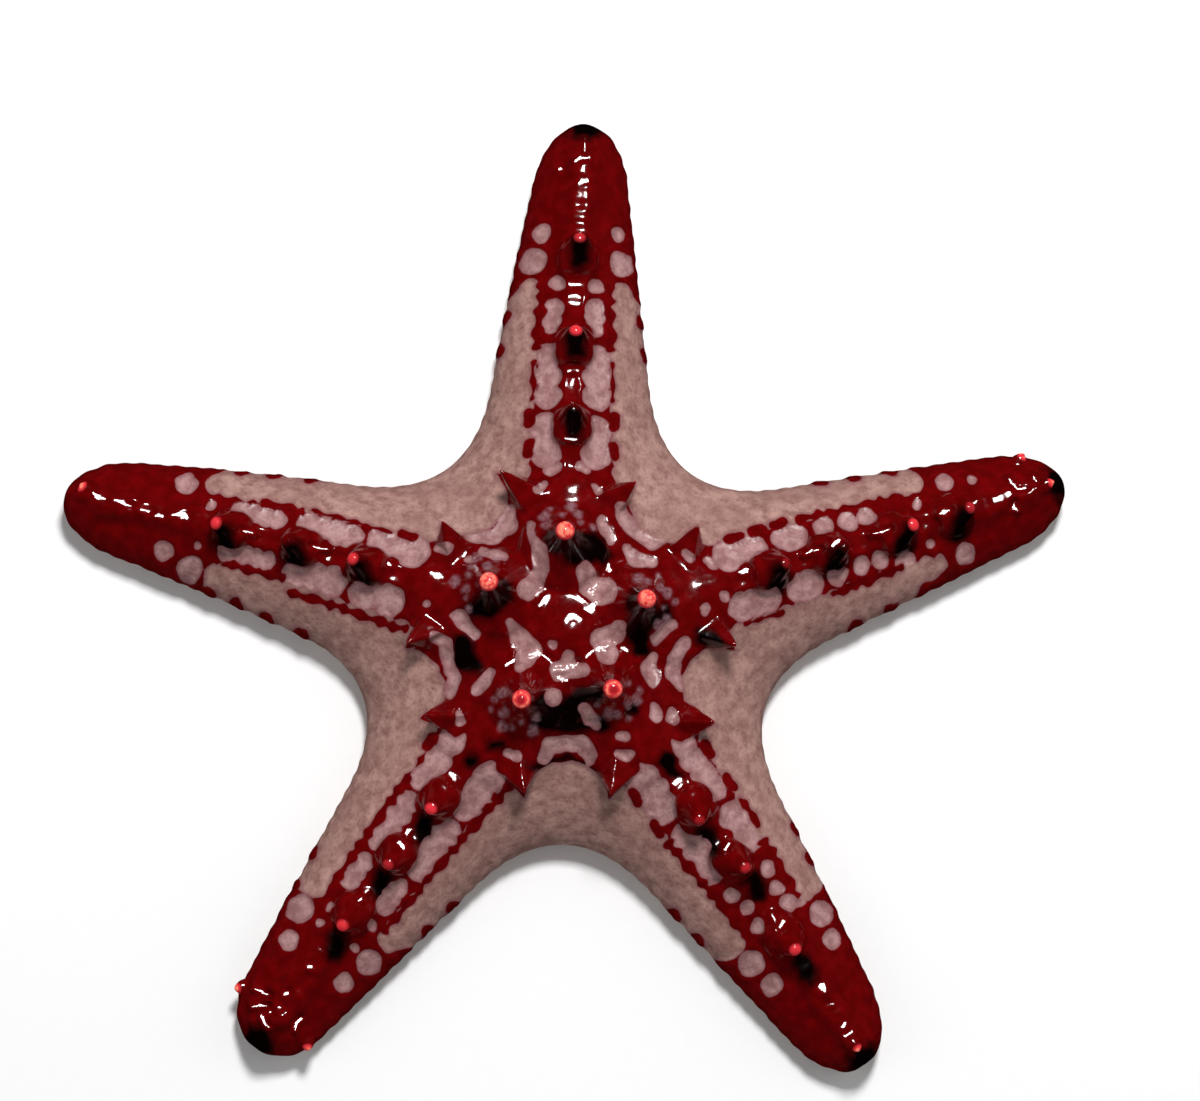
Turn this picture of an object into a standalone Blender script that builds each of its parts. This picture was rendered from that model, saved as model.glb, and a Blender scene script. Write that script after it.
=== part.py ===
"""African red knob sea star, life size, as a still model that lies on its underside.

The body is a five-armed plan with a height over every point of it. The same
functions give the disc and the arms, so that they meet face to face where the
arms are parted from the disc. Seen from above with +Y away from the viewer,
arm_1 points away and the others follow clockwise.
"""

import math
from collections import namedtuple

import bmesh
import bpy
from mathutils import Matrix, Vector

MM = 0.001
UP = Vector((0.0, 0.0, 1.0))
MODEL_NAME = "red_knob_starfish"

# Arms: heading in degrees from +X, sideways bow, reach from the centre, length of
# the rounded tip, and the places along the arm of the knobs on its back
Arm = namedtuple("Arm", "heading bow reach tip knobs")
ARMS = {
    "arm_1": Arm(87.4, 0.5 * MM, 52.4 * MM, 6.2 * MM, (20.8 * MM, 28.8 * MM, 37.8 * MM)),
    "arm_2": Arm(17.1, 0.2 * MM, 52.5 * MM, 6.2 * MM, (20.8 * MM, 27.0 * MM, 34.4 * MM, 40.4 * MM)),
    "arm_3": Arm(-55.5, 0.4 * MM, 51.6 * MM, 6.2 * MM, (20.8 * MM, 26.8 * MM, 36.3 * MM)),
    "arm_4": Arm(231.8, -0.4 * MM, 50.9 * MM, 5.0 * MM, (20.6 * MM, 27.4 * MM, 34.8 * MM)),
    "arm_5": Arm(163.2, -1.1 * MM, 52.3 * MM, 6.2 * MM, (21.2 * MM, 28.0 * MM, 35.2 * MM)),
}

# Plan of the body
ROOT_HALF_WIDTH = 12.1 * MM
TAPER = 0.157
TIP_BLUNTNESS = 2.3
WEB = 11.8 * MM
WEB_LIMIT = 4.0 * MM
WEB_STEPS = 4
CUT = 18.2 * MM
GAP = 0.3 * MM

# Heights of the body
CENTRE_HEIGHT = 14.6 * MM
TIP_HEIGHT = 6.0 * MM
SLOPE_LENGTH = 50.0 * MM
SLOPE_POWER = 1.3
EDGE_HEIGHT = 2.2 * MM
EDGE_INSET = 0.1 * MM
EDGE_ROUND = 1.6 * MM
RIDGE_RISE = 0.8 * MM
RIDGE_HALF_WIDTH = 1.7 * MM
PLATEAU_RISE = 0.7 * MM
PLATEAU_HALF_WIDTH = 6.0 * MM

# Shares of the half width and of the reach at which sections and rings have points
SIDE_SHARES = (1.0, 0.965, 0.88, 0.74, 0.56)
RIDGE_SHARES = (1.5, 0.6, 0.0, -0.6, -1.5)
RIDGE_WIDTH_SHARE = 0.32
BACK_RINGS = ((1.0, 0), (0.965, 75), (0.89, 60), (0.78, 50), (0.64, 45), (0.5, 35), (0.36, 25), (0.2, 15))
TIP_SHARES = (0.3, 0.55, 0.75, 0.89, 0.97)
ARM_LENGTHS = 9

# Furrow and mouth under the body
FURROW_HALF_WIDTH = 1.8 * MM
FURROW_ROOF_SHARE = 0.7
FURROW_DEPTH = 2.5 * MM
FURROW_WIDTH_SHARE = 0.36
MOUTH_RADIUS = 4.0 * MM
MOUTH_DEPTH = 3.2 * MM
MOUTH_PLATE_LOW = 1.5 * MM
JAW_RADIUS = 1.05 * MM
JAW_HEIGHT = 1.5 * MM

# Tube feet in two rows in each furrow, and small spines along its edges
FOOT_RADIUS = 0.44 * MM
FOOT_SPACING = 2.9 * MM
FOOT_CLEAR = 0.3 * MM
FOOT_FIRST = 6.0 * MM
FOOT_ROW_SHARE = 0.52
FURROW_SPINE_RADIUS = 0.36 * MM
FURROW_SPINE_LENGTH = 1.1 * MM
FURROW_SPINE_ROOT_SHARE = 0.96
FURROW_SPINE_HEIGHT = 0.75 * MM
FURROW_SPINE_DIP = 0.2 * MM

# Ring of five knobs round the centre: turn, distance and outward lean of each
RING_KNOBS = (
    (94.0, 8.6 * MM, 1.2 * MM),
    (150.0, 8.4 * MM, 1.2 * MM),
    (233.0, 7.6 * MM, 1.0 * MM),
    (303.0, 6.3 * MM, 0.8 * MM),
    (22.0, 7.0 * MM, 0.9 * MM),
)
RING_KNOB_HEIGHT = 6.4 * MM
RING_KNOB_RADIUS = 4.2 * MM

# Knobs along the back of each arm
BACK_KNOB_HEIGHT = 2.9 * MM
BACK_KNOB_RADIUS = 2.0 * MM
BACK_KNOB_LEAN = 1.4 * MM

# Sharp spines, two at the root of each arm: place along and across it, reach of the tip
SPINE_PLACE = (13.8 * MM, 4.5 * MM)
SPINE_REACH = (1.5 * MM, 1.9 * MM)
SPINE_HEIGHT = 2.2 * MM
SPINE_RADIUS = 1.8 * MM

# Small knobs near the tips: arm, place along it, place across it
TIP_KNOBS = (
    ("arm_2", 48.7 * MM, 3.4 * MM),
    ("arm_2", 50.2 * MM, 0.2 * MM),
    ("arm_3", 49.0 * MM, -0.1 * MM),
    ("arm_4", 46.9 * MM, -4.4 * MM),
    ("arm_4", 47.3 * MM, 3.9 * MM),
    ("arm_5", 50.0 * MM, -0.9 * MM),
)
TIP_KNOB_RADIUS = 0.8 * MM
TIP_KNOB_HEIGHT = 1.2 * MM
TIP_KNOB_RISE = 0.6

# Sieve plate near the centre, in a pocket of its own
SIEVE_PLACE = (-1.9 * MM, -5.9 * MM)
SIEVE_RADIUS = 0.85 * MM
SIEVE_HALF_THICKNESS = 0.7 * MM
SIEVE_STAND = 0.5 * MM

# Outlines of turned pieces: share of the radius, share of the height
CONE_PROFILE = ((0.0, 1.0), (0.13, 0.96), (0.2, 0.8), (0.36, 0.5), (0.62, 0.22), (1.0, 0.0))
DOME_PROFILE = ((0.0, 1.0), (0.26, 0.9), (0.55, 0.62), (0.86, 0.25), (1.0, 0.0))
SPIKE_PROFILE = ((0.0, 1.0), (0.16, 0.86), (0.52, 0.36), (1.0, 0.0))
POINT_PROFILE = ((0.0, 1.0), (1.0, 0.0))
FOOT_PROFILE = ((0.0, 1.0), (1.0, 0.93), (0.66, 0.62), (0.8, 0.0))
BUTTON_PROFILE = ((0.0, 1.0), (0.6, 0.92), (0.9, 0.72), (1.0, 0.5))
ROOT_SINK = 1.2 * MM

# Colours: red, green, blue, roughness
SKIN = (0.19, 0.03, 0.025, 0.35)
SIEVE = (0.36, 0.24, 0.2, 0.6)
LIPS = (0.42, 0.3, 0.24, 0.6)


def start_clean():
    """Removes what the file holds and makes the model's collection."""
    for thing in list(bpy.data.objects):
        bpy.data.objects.remove(thing, do_unlink=True)
    return new_collection(MODEL_NAME)


def new_collection(name):
    """An empty collection in the scene."""
    holder = bpy.data.collections.new(name)
    bpy.context.scene.collection.children.link(holder)
    return holder


def make_material(name, look):
    """One Principled material from a colour and a roughness."""
    material = bpy.data.materials.new(name)
    material.use_nodes = True
    shader = material.node_tree.nodes["Principled BSDF"]
    shader.inputs["Base Color"].default_value = (look[0], look[1], look[2], 1.0)
    shader.inputs["Roughness"].default_value = look[3]
    shader.inputs["Metallic"].default_value = 0.0
    return material


def blend(value, low, high):
    """Smooth step from 0 at low to 1 at high."""
    share = min(1.0, max(0.0, (value - low) / (high - low)))
    return share * share * (3.0 - 2.0 * share)


def arm_axes(arm):
    """Unit vectors along an arm and across it, to its left."""
    turn = math.radians(arm.heading)
    return Vector((math.cos(turn), math.sin(turn))), Vector((-math.sin(turn), math.cos(turn)))


def arm_bow(arm, along):
    """How far an arm's middle line stands to the side of its straight axis."""
    return arm.bow * math.sin(math.pi * min(max(along, 0.0), arm.reach) / arm.reach)


def on_arm(arm, along, across):
    """Plan point at a distance along an arm and across it from its middle line."""
    out, left = arm_axes(arm)
    return out * along + left * (across + arm_bow(arm, along))


def arm_place(arm, point):
    """Distance of a plan point along an arm, and across it from its middle line."""
    out, left = arm_axes(arm)
    along = point.dot(out)
    return along, point.dot(left) - arm_bow(arm, along)


def full_half_width(along):
    """Half width of an arm that doesn't end."""
    return ROOT_HALF_WIDTH - TAPER * along


def half_width(arm, along):
    """Half width of an arm, rounded off at its tip."""
    width = full_half_width(max(along, 0.0))
    past = min(1.0, (along - arm.reach + arm.tip) / arm.tip)
    if past > 0.0:
        width *= (1.0 - past**TIP_BLUNTNESS) ** (1.0 / TIP_BLUNTNESS)
    return width


def depth_in_arm(arm, point):
    """How far a plan point lies inside one arm's outline."""
    along, across = arm_place(arm, point)
    aside = math.hypot(along, across) if along < 0.0 else abs(across)
    return half_width(arm, along) - aside


def depth_inside(point):
    """How far a plan point lies inside the body's outline, with webs between the arms."""
    first, second = sorted((depth_in_arm(arm, point) for arm in ARMS.values()), reverse=True)[:2]
    overlap = max(0.0, WEB - (first - second)) / WEB
    return first + overlap * overlap * WEB / 4.0


def nearest_arm(point):
    """The arm whose heading is closest to a plan point."""
    return max(ARMS.values(), key=lambda arm: arm_place(arm, point)[0])


def top_height(point):
    """Height of the back over a plan point."""
    arm = nearest_arm(point)
    along, across = arm_place(arm, point)
    fall = max(0.0, 1.0 - point.length / SLOPE_LENGTH) ** SLOPE_POWER
    crown = TIP_HEIGHT + (CENTRE_HEIGHT - TIP_HEIGHT) * fall - EDGE_HEIGHT
    share = min(1.0, max(0.0, depth_inside(point) / full_half_width(along)))
    arch = 0.75 * math.sqrt(1.0 - (1.0 - share) ** 2) + 0.25 * share
    ridge = RIDGE_RISE * math.exp(-((across / RIDGE_HALF_WIDTH) ** 2))
    ridge *= blend(along, 8.0 * MM, 14.0 * MM) * blend(share, 0.5, 0.9)
    edge = abs(across) - PLATEAU_HALF_WIDTH
    plateau = PLATEAU_RISE * (1.0 - blend(edge, -1.0 * MM, 0.8 * MM))
    plateau *= blend(along, 7.0 * MM, 9.0 * MM) * (1.0 - blend(along, 15.5 * MM, 17.5 * MM))
    return EDGE_HEIGHT + crown * arch + max(ridge, plateau)


def under_height(point):
    """Height of the underside: flat, and rounded up to the edge."""
    left = max(0.0, EDGE_ROUND - depth_inside(point)) / EDGE_ROUND
    return EDGE_HEIGHT * (1.0 - math.sqrt(max(0.0, 1.0 - left * left)))


def edge_distance(start, heading, near, far):
    """Distance from a plan point along a heading to the body's outline."""
    while far - near > 0.001 * MM:
        middle = (near + far) / 2.0
        if depth_inside(start + heading * middle) > EDGE_INSET:
            near = middle
        else:
            far = middle
    return near


def section_edges(arm, along):
    """Distances across an arm from its middle line to the outline, left and right."""
    left = arm_axes(arm)[1]
    width = half_width(arm, along)
    middle = on_arm(arm, along, 0.0)
    return [edge_distance(middle, left * side, width / 2.0, width + WEB_LIMIT) for side in (1.0, -1.0)]


def section_places(arm, along):
    """Places across an arm of the points on its back, from its left edge to its right."""
    left, right = section_edges(arm, along)
    ridge = min(RIDGE_HALF_WIDTH, RIDGE_WIDTH_SHARE * min(left, right))
    places = [left * share for share in SIDE_SHARES]
    places += [ridge * share for share in RIDGE_SHARES]
    return places + [-right * share for share in reversed(SIDE_SHARES)]


def furrow_size(arm, along):
    """Half widths of the furrow at the floor and at its roof, and its depth."""
    low = min(FURROW_HALF_WIDTH, FURROW_WIDTH_SHARE * half_width(arm, along))
    return low, low * FURROW_ROOF_SHARE, FURROW_DEPTH * low / FURROW_HALF_WIDTH


def under_corners(arm, along, edge, side):
    """Corners of a section's underside on one side, from the edge to the furrow's roof."""
    low, roof, depth = furrow_size(arm, along)
    flat = max(edge - EDGE_ROUND, (edge + low) / 2.0)
    corners = [(edge - 0.02 * MM, None), ((edge + flat) / 2.0, None), (flat, 0.0), (low, 0.0), (roof, depth)]
    return [(side * across, height) for across, height in corners]


def arm_section(arm, along):
    """Points of an arm's section, all round it."""
    left, right = section_edges(arm, along)
    places = [(across, top_height(on_arm(arm, along, across))) for across in section_places(arm, along)]
    places += under_corners(arm, along, right, -1.0)
    places += reversed(under_corners(arm, along, left, 1.0))
    points = []
    for across, height in places:
        point = on_arm(arm, along, across)
        points.append((point.x, point.y, under_height(point) if height is None else height))
    return points


def arm_stations(arm):
    """Places along an arm of its sections, closer towards the tip."""
    start = CUT + GAP
    straight = arm.reach - arm.tip
    stations = [start + (straight - start) * step / ARM_LENGTHS for step in range(ARM_LENGTHS + 1)]
    return stations + [straight + arm.tip * share for share in TIP_SHARES]


def zip_loops(mesh, first, second):
    """Triangles between two closed loops of points that need not have the same number.

    Each loop is a list of pairs of a share from 0 to 1 round the loop and a vertex.
    """
    here, there = 0, 0
    while here < len(first) or there < len(second):
        next_here = first[here + 1][0] if here + 1 < len(first) else 1.0 + (here == len(first))
        next_there = second[there + 1][0] if there + 1 < len(second) else 1.0 + (there == len(second))
        one = first[here % len(first)][1]
        other = second[there % len(second)][1]
        if next_here <= next_there:
            mesh.faces.new((one, first[(here + 1) % len(first)][1], other))
            here += 1
        else:
            mesh.faces.new((one, second[(there + 1) % len(second)][1], other))
            there += 1


def finish_mesh(mesh, name, holder, material=None):
    """Turns built faces into an object whose faces point out."""
    bmesh.ops.recalc_face_normals(mesh, faces=mesh.faces)
    data = bpy.data.meshes.new(name)
    mesh.to_mesh(data)
    mesh.free()
    thing = bpy.data.objects.new(name, data)
    holder.objects.link(thing)
    if material:
        data.materials.append(material)
    return thing


def build_arm(name, arm, holder, material):
    """One arm, lofted through sections square to its axis."""
    mesh = bmesh.new()
    loops = []
    for along in arm_stations(arm):
        points = arm_section(arm, along)
        loops.append([(index / len(points), mesh.verts.new(point)) for index, point in enumerate(points)])
    for near, far in zip(loops, loops[1:]):
        zip_loops(mesh, near, far)
    for loop in (loops[0], loops[-1]):
        mesh.faces.new([vertex for _, vertex in loop])
    return finish_mesh(mesh, name, holder, material)


def disc_corners():
    """Turns round the centre of the disc's outer corners, with the reach to each."""
    corners = []
    arms = sorted(ARMS.values(), key=lambda arm: arm.heading % 360.0)
    spans = []
    for arm in arms:
        points = [on_arm(arm, CUT, across) for across in reversed(section_places(arm, CUT))]
        turns = [math.atan2(point.y, point.x) % math.tau for point in points]
        corners += [(turn, point.length) for turn, point in zip(turns, points)]
        spans.append((turns[0], turns[-1]))
    for (_, end), (start, _) in zip(spans, spans[1:] + spans[:1]):
        for step in range(1, WEB_STEPS):
            turn = (end + (start - end) % math.tau * step / WEB_STEPS) % math.tau
            heading = Vector((math.cos(turn), math.sin(turn)))
            corners.append((turn, edge_distance(Vector((0.0, 0.0)), heading, CUT / 2.0, 2.0 * CUT)))
    return sorted(corners)


def reach_at(corners, turn):
    """Reach of the disc's outline at any turn, between its corners."""
    for (low, first), (high, second) in zip(corners, corners[1:]):
        if low <= turn <= high:
            return first + (second - first) * (turn - low) / (high - low)
    (low, first), (high, second) = corners[-1], corners[0]
    share = ((turn - low) % math.tau) / ((high - low) % math.tau)
    return first + (second - first) * share


def disc_ring(mesh, corners, share, count, height_of):
    """One ring of the disc at a share of its reach, with count points or all corners."""
    turns = [math.tau * step / count for step in range(count)] or [turn for turn, _ in corners]
    ring = []
    for turn in turns:
        point = Vector((math.cos(turn), math.sin(turn))) * share * reach_at(corners, turn)
        ring.append((turn / math.tau, mesh.verts.new((point.x, point.y, height_of(point)))))
    return ring


def build_disc(holder, material):
    """The disc: rings from the centre of the back, over the edge, to a flat underside."""
    mesh = bmesh.new()
    corners = disc_corners()
    rings = [disc_ring(mesh, corners, share, count, top_height) for share, count in BACK_RINGS]
    centre = mesh.verts.new((0.0, 0.0, top_height(Vector((0.0, 0.0)))))
    for outer, inner in zip(rings, rings[1:]):
        zip_loops(mesh, outer, inner)
    for (_, one), (_, other) in zip(rings[-1], rings[-1][1:] + rings[-1][:1]):
        mesh.faces.new((one, other, centre))
    below = disc_ring(mesh, corners, 1.0, 0, under_height)
    shelf = disc_ring(mesh, corners, 0.95, 60, under_height)
    floor = disc_ring(mesh, corners, 0.88, 50, lambda point: 0.0)
    for outer, inner in ((below, rings[0]), (below, shelf), (shelf, floor)):
        zip_loops(mesh, outer, inner)
    mesh.faces.new([vertex for _, vertex in floor])
    return finish_mesh(mesh, "disc", holder, material)


def turned_mesh(name, profile, radius, height, sides, sink=0.0):
    """A turned piece from a profile given in shares, with a straight root below its foot."""
    points = [(radius * across, height * up) for across, up in profile]
    if sink > 0.0:
        points.append((points[-1][0], -sink))
    points.append((0.0, points[-1][1]))
    data = bpy.data.meshes.new(name)
    data.from_pydata([(x, 0.0, z) for x, z in points], [(i, i + 1) for i in range(len(points) - 1)], [])
    thing = bpy.data.objects.new(name, data)
    bpy.context.scene.collection.objects.link(thing)
    screw = thing.modifiers.new("turn", "SCREW")
    screw.steps = sides
    screw.render_steps = sides
    screw.use_merge_vertices = True
    screw.merge_threshold = 0.00001
    turned = evaluated_mesh(thing)
    bpy.data.objects.remove(thing)
    bpy.data.meshes.remove(data)
    return turned


def evaluated_mesh(thing):
    """The mesh that an object's modifiers give."""
    bpy.context.view_layer.update()
    seen = thing.evaluated_get(bpy.context.evaluated_depsgraph_get())
    return bpy.data.meshes.new_from_object(seen)


def leaning(foot, tip):
    """Placement of a piece whose own up axis runs from a foot to a tip."""
    turn = UP.rotation_difference((tip - foot).normalized())
    return Matrix.Translation(foot) @ turn.to_matrix().to_4x4()


def add_piece(holder, mesh, place):
    """Puts a copy of a mesh, moved to its place, into a collection."""
    data = mesh.copy()
    data.transform(place)
    holder.objects.link(bpy.data.objects.new(mesh.name, data))


def keep_largest(thing):
    """Keeps only the largest closed surface of an object's mesh."""
    mesh = bmesh.new()
    mesh.from_mesh(thing.data)
    bmesh.ops.remove_doubles(mesh, verts=mesh.verts, dist=0.002 * MM)
    unseen = set(mesh.faces)
    surfaces = []
    while unseen:
        surface = [unseen.pop()]
        for face in surface:
            for edge in face.edges:
                for other in edge.link_faces:
                    if other in unseen:
                        unseen.remove(other)
                        surface.append(other)
        surfaces.append(surface)
    surfaces.sort(key=lambda faces: sum(face.calc_area() for face in faces))
    for surface in surfaces[:-1]:
        bmesh.ops.delete(mesh, geom=surface, context="FACES")
    bmesh.ops.triangulate(mesh, faces=mesh.faces)
    mesh.to_mesh(thing.data)
    mesh.free()


def fuse(thing, pieces, operation="UNION"):
    """Joins a collection's pieces to an object, or cuts them from it, and removes them."""
    joining = thing.modifiers.new("fuse", "BOOLEAN")
    joining.operand_type = "COLLECTION"
    joining.collection = pieces
    joining.operation = operation
    joining.solver = "EXACT"
    fused = evaluated_mesh(thing)
    thing.modifiers.clear()
    thing.data = fused
    for piece in list(pieces.objects):
        bpy.data.objects.remove(piece, do_unlink=True)
    bpy.data.collections.remove(pieces)
    keep_largest(thing)


def surface_point(point, sink=0.0):
    """Point on the back over a plan point, or below it."""
    return Vector((point.x, point.y, top_height(point) - sink))


def add_ring_knobs(pieces):
    """The five tall knobs round the centre, leaning out."""
    mesh = turned_mesh("ring_knob", CONE_PROFILE, RING_KNOB_RADIUS, RING_KNOB_HEIGHT, 12, ROOT_SINK)
    for turn, reach, lean in RING_KNOBS:
        out = Vector((math.cos(math.radians(turn)), math.sin(math.radians(turn))))
        foot = surface_point(out * reach)
        add_piece(pieces, mesh, leaning(foot, foot + Vector((out.x * lean, out.y * lean, RING_KNOB_HEIGHT))))


def add_root_spines(pieces):
    """Two sharp spines at the root of each arm, leaning to the sides."""
    length = math.hypot(*SPINE_REACH, SPINE_HEIGHT)
    mesh = turned_mesh("root_spine", SPIKE_PROFILE, SPINE_RADIUS, length, 8, ROOT_SINK)
    for arm in ARMS.values():
        for side in (1.0, -1.0):
            foot = surface_point(on_arm(arm, SPINE_PLACE[0], side * SPINE_PLACE[1]))
            ahead = on_arm(arm, SPINE_PLACE[0] + SPINE_REACH[0], side * (SPINE_PLACE[1] + SPINE_REACH[1]))
            add_piece(pieces, mesh, leaning(foot, Vector((ahead.x, ahead.y, foot.z + SPINE_HEIGHT))))


def add_back_knobs(pieces, arm):
    """The knobs along an arm's back, leaning to its tip."""
    mesh = turned_mesh("back_knob", DOME_PROFILE, BACK_KNOB_RADIUS, BACK_KNOB_HEIGHT, 9, ROOT_SINK)
    for along in arm.knobs:
        foot = surface_point(on_arm(arm, along, 0.0), 0.3 * MM)
        ahead = on_arm(arm, along + BACK_KNOB_LEAN, 0.0)
        add_piece(pieces, mesh, leaning(foot, Vector((ahead.x, ahead.y, foot.z + BACK_KNOB_HEIGHT))))


def add_tip_knobs(pieces, name, arm):
    """The small knobs near an arm's tip, leaning away from its middle."""
    mesh = turned_mesh("tip_knob", DOME_PROFILE, TIP_KNOB_RADIUS, TIP_KNOB_HEIGHT, 7, 0.8 * MM)
    for owner, along, across in TIP_KNOBS:
        if owner == name:
            out = (on_arm(arm, along, across) - on_arm(arm, along - 4.0 * MM, 0.2 * across)).normalized()
            foot = surface_point(on_arm(arm, along, across), 0.1 * MM)
            add_piece(pieces, mesh, leaning(foot, foot + out.to_3d() + UP * TIP_KNOB_RISE))


def add_tube_feet(pieces, arm, first, last):
    """Tube feet in two rows that hang from the furrow's roof."""
    for step in range(int((last - first) / FOOT_SPACING) + 1):
        along = first + FOOT_SPACING * step
        low, roof, depth = furrow_size(arm, along)
        radius = FOOT_RADIUS * low / FURROW_HALF_WIDTH
        mesh = turned_mesh("tube_foot", FOOT_PROFILE, radius, depth - FOOT_CLEAR, 5, ROOT_SINK / 2.0)
        for side in (1.0, -1.0):
            root = on_arm(arm, along, side * FOOT_ROW_SHARE * roof)
            add_piece(pieces, mesh, leaning(root.to_3d() + UP * depth, root.to_3d()))


def add_furrow_spines(pieces, arm, first, last):
    """Small spines that lean in over the furrow from both its edges, between the tube feet."""
    for step in range(int((last - first) / FOOT_SPACING)):
        along = first + FOOT_SPACING * (step + 0.5)
        low = furrow_size(arm, along)[0]
        share = low / FURROW_HALF_WIDTH
        radius, length = FURROW_SPINE_RADIUS * share, FURROW_SPINE_LENGTH * share
        mesh = turned_mesh("furrow_spine", POINT_PROFILE, radius, length, 4, ROOT_SINK / 2.0)
        ahead = on_arm(arm, along, 0.0).to_3d() + UP * (FURROW_SPINE_HEIGHT - FURROW_SPINE_DIP)
        for side in (1.0, -1.0):
            root = on_arm(arm, along, side * low * FURROW_SPINE_ROOT_SHARE)
            add_piece(pieces, mesh, leaning(root.to_3d() + UP * FURROW_SPINE_HEIGHT, ahead))


def add_furrow_cutters(cutters):
    """Prisms that cut the five furrows under the disc, and the round of the mouth."""
    for arm in ARMS.values():
        low, roof, depth = furrow_size(arm, CUT)
        half = ((low, -1.0 * MM), (low, 0.0), (roof, depth))
        corners = half + tuple((-across, height) for across, height in reversed(half))
        mesh = bmesh.new()
        ends = []
        for along in (1.0 * MM, CUT + 1.0 * MM):
            places = [on_arm(arm, along, across) for across, _ in corners]
            points = [(place.x, place.y, height) for place, (_, height) in zip(places, corners)]
            ends.append([(index / len(points), mesh.verts.new(point)) for index, point in enumerate(points)])
            mesh.faces.new([vertex for _, vertex in ends[-1]])
        zip_loops(mesh, *ends)
        finish_mesh(mesh, "furrow_cutter", cutters)
    add_round(cutters, "mouth_cutter", MOUTH_RADIUS, 2.0 * MOUTH_DEPTH, Vector(), 20)


def add_round(holder, name, radius, depth, middle, sides, material=None):
    """An upright cylinder round a middle point."""
    mesh = bmesh.new()
    bmesh.ops.create_cone(mesh, cap_ends=True, segments=sides, radius1=radius, radius2=radius, depth=depth)
    bmesh.ops.translate(mesh, verts=mesh.verts, vec=middle)
    return finish_mesh(mesh, name, holder, material)


def cut_disc(disc):
    """Cuts the furrows, the mouth's hollow and the sieve plate's pocket from the disc."""
    cutters = new_collection("cutters")
    add_furrow_cutters(cutters)
    middle = surface_point(Vector(SIEVE_PLACE), -SIEVE_STAND)
    depth = 2.0 * SIEVE_HALF_THICKNESS + GAP
    add_round(cutters, "sieve_pocket", SIEVE_RADIUS + GAP, 2.0 * depth, middle, 14)
    fuse(disc, cutters, "DIFFERENCE")


def build_sieve_plate(holder, material):
    """The sieve plate: a low button in its pocket."""
    half = SIEVE_HALF_THICKNESS
    mesh = turned_mesh("madreporite", BUTTON_PROFILE, SIEVE_RADIUS, half, 14, half)
    mesh.transform(Matrix.Translation(surface_point(Vector(SIEVE_PLACE), half - SIEVE_STAND)))
    mesh.materials.append(material)
    holder.objects.link(bpy.data.objects.new("madreporite", mesh))


def build_mouth(holder, material):
    """The mouth: a round plate in its hollow with a jaw between each two furrows."""
    top = MOUTH_DEPTH - GAP
    middle = Vector((0.0, 0.0, (top + MOUTH_PLATE_LOW) / 2.0))
    mouth = add_round(holder, "mouth", MOUTH_RADIUS - GAP, top - MOUTH_PLATE_LOW, middle, 20, material)
    jaws = new_collection("jaws")
    jaw = turned_mesh("jaw", DOME_PROFILE, JAW_RADIUS, JAW_HEIGHT, 8, 0.6 * MM)
    headings = sorted(arm.heading % 360.0 for arm in ARMS.values())
    for first, second in zip(headings, headings[1:] + [headings[0] + 360.0]):
        turn = math.radians((first + second) / 2.0)
        out = Vector((math.cos(turn), math.sin(turn), 0.0))
        foot = out * 2.3 * MM + Vector((0.0, 0.0, MOUTH_PLATE_LOW))
        add_piece(jaws, jaw, leaning(foot, out * 1.6 * MM + Vector((0.0, 0.0, 0.1 * MM))))
    fuse(mouth, jaws)


def settle(holder):
    """Moves every piece so that the middle of the underside is the origin."""
    corners = [vertex.co for thing in holder.objects for vertex in thing.data.vertices]
    low = Vector([min(corner[axis] for corner in corners) for axis in range(3)])
    high = Vector([max(corner[axis] for corner in corners) for axis in range(3)])
    shift = Vector(((low.x + high.x) / -2.0, (low.y + high.y) / -2.0, -low.z))
    for thing in holder.objects:
        thing.data.transform(Matrix.Translation(shift))
        thing.data.set_sharp_from_angle(angle=math.radians(40.0))


def build():
    """Builds the whole animal."""
    holder = start_clean()
    skin = make_material("skin", SKIN)
    disc = build_disc(holder, skin)
    knobs = new_collection("disc_knobs")
    add_ring_knobs(knobs)
    add_root_spines(knobs)
    fuse(disc, knobs)
    cut_disc(disc)
    feet = new_collection("disc_feet")
    for arm in ARMS.values():
        add_tube_feet(feet, arm, FOOT_FIRST, CUT - FOOT_RADIUS - GAP)
        add_furrow_spines(feet, arm, FOOT_FIRST, CUT - FOOT_RADIUS - GAP)
    fuse(disc, feet)
    for name, arm in ARMS.items():
        limb = build_arm(name, arm, holder, skin)
        forms = new_collection(name + "_forms")
        add_back_knobs(forms, arm)
        add_tip_knobs(forms, name, arm)
        first, last = CUT + 3.0 * GAP + FOOT_RADIUS, arm.reach - arm.tip / 2.0
        add_tube_feet(forms, arm, first, last)
        add_furrow_spines(forms, arm, first, last)
        fuse(limb, forms)
    build_sieve_plate(holder, make_material("sieve", SIEVE))
    build_mouth(holder, make_material("lips", LIPS))
    settle(holder)


build()
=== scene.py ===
"""African red knob sea star: skin, sieve plate, mouth, tube feet, furrow spines and stage.

The pieces are worked out in millimetres from the middle of the disc, with +Y
away from the viewer, from the same plan and heights as the solids. They are put
in place in metres once they are finished. Side +1 of an arm is its left, seen
from the disc.
"""

import math
from collections import namedtuple

import bpy
import numpy as np
from mathutils import Matrix, Vector


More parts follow.
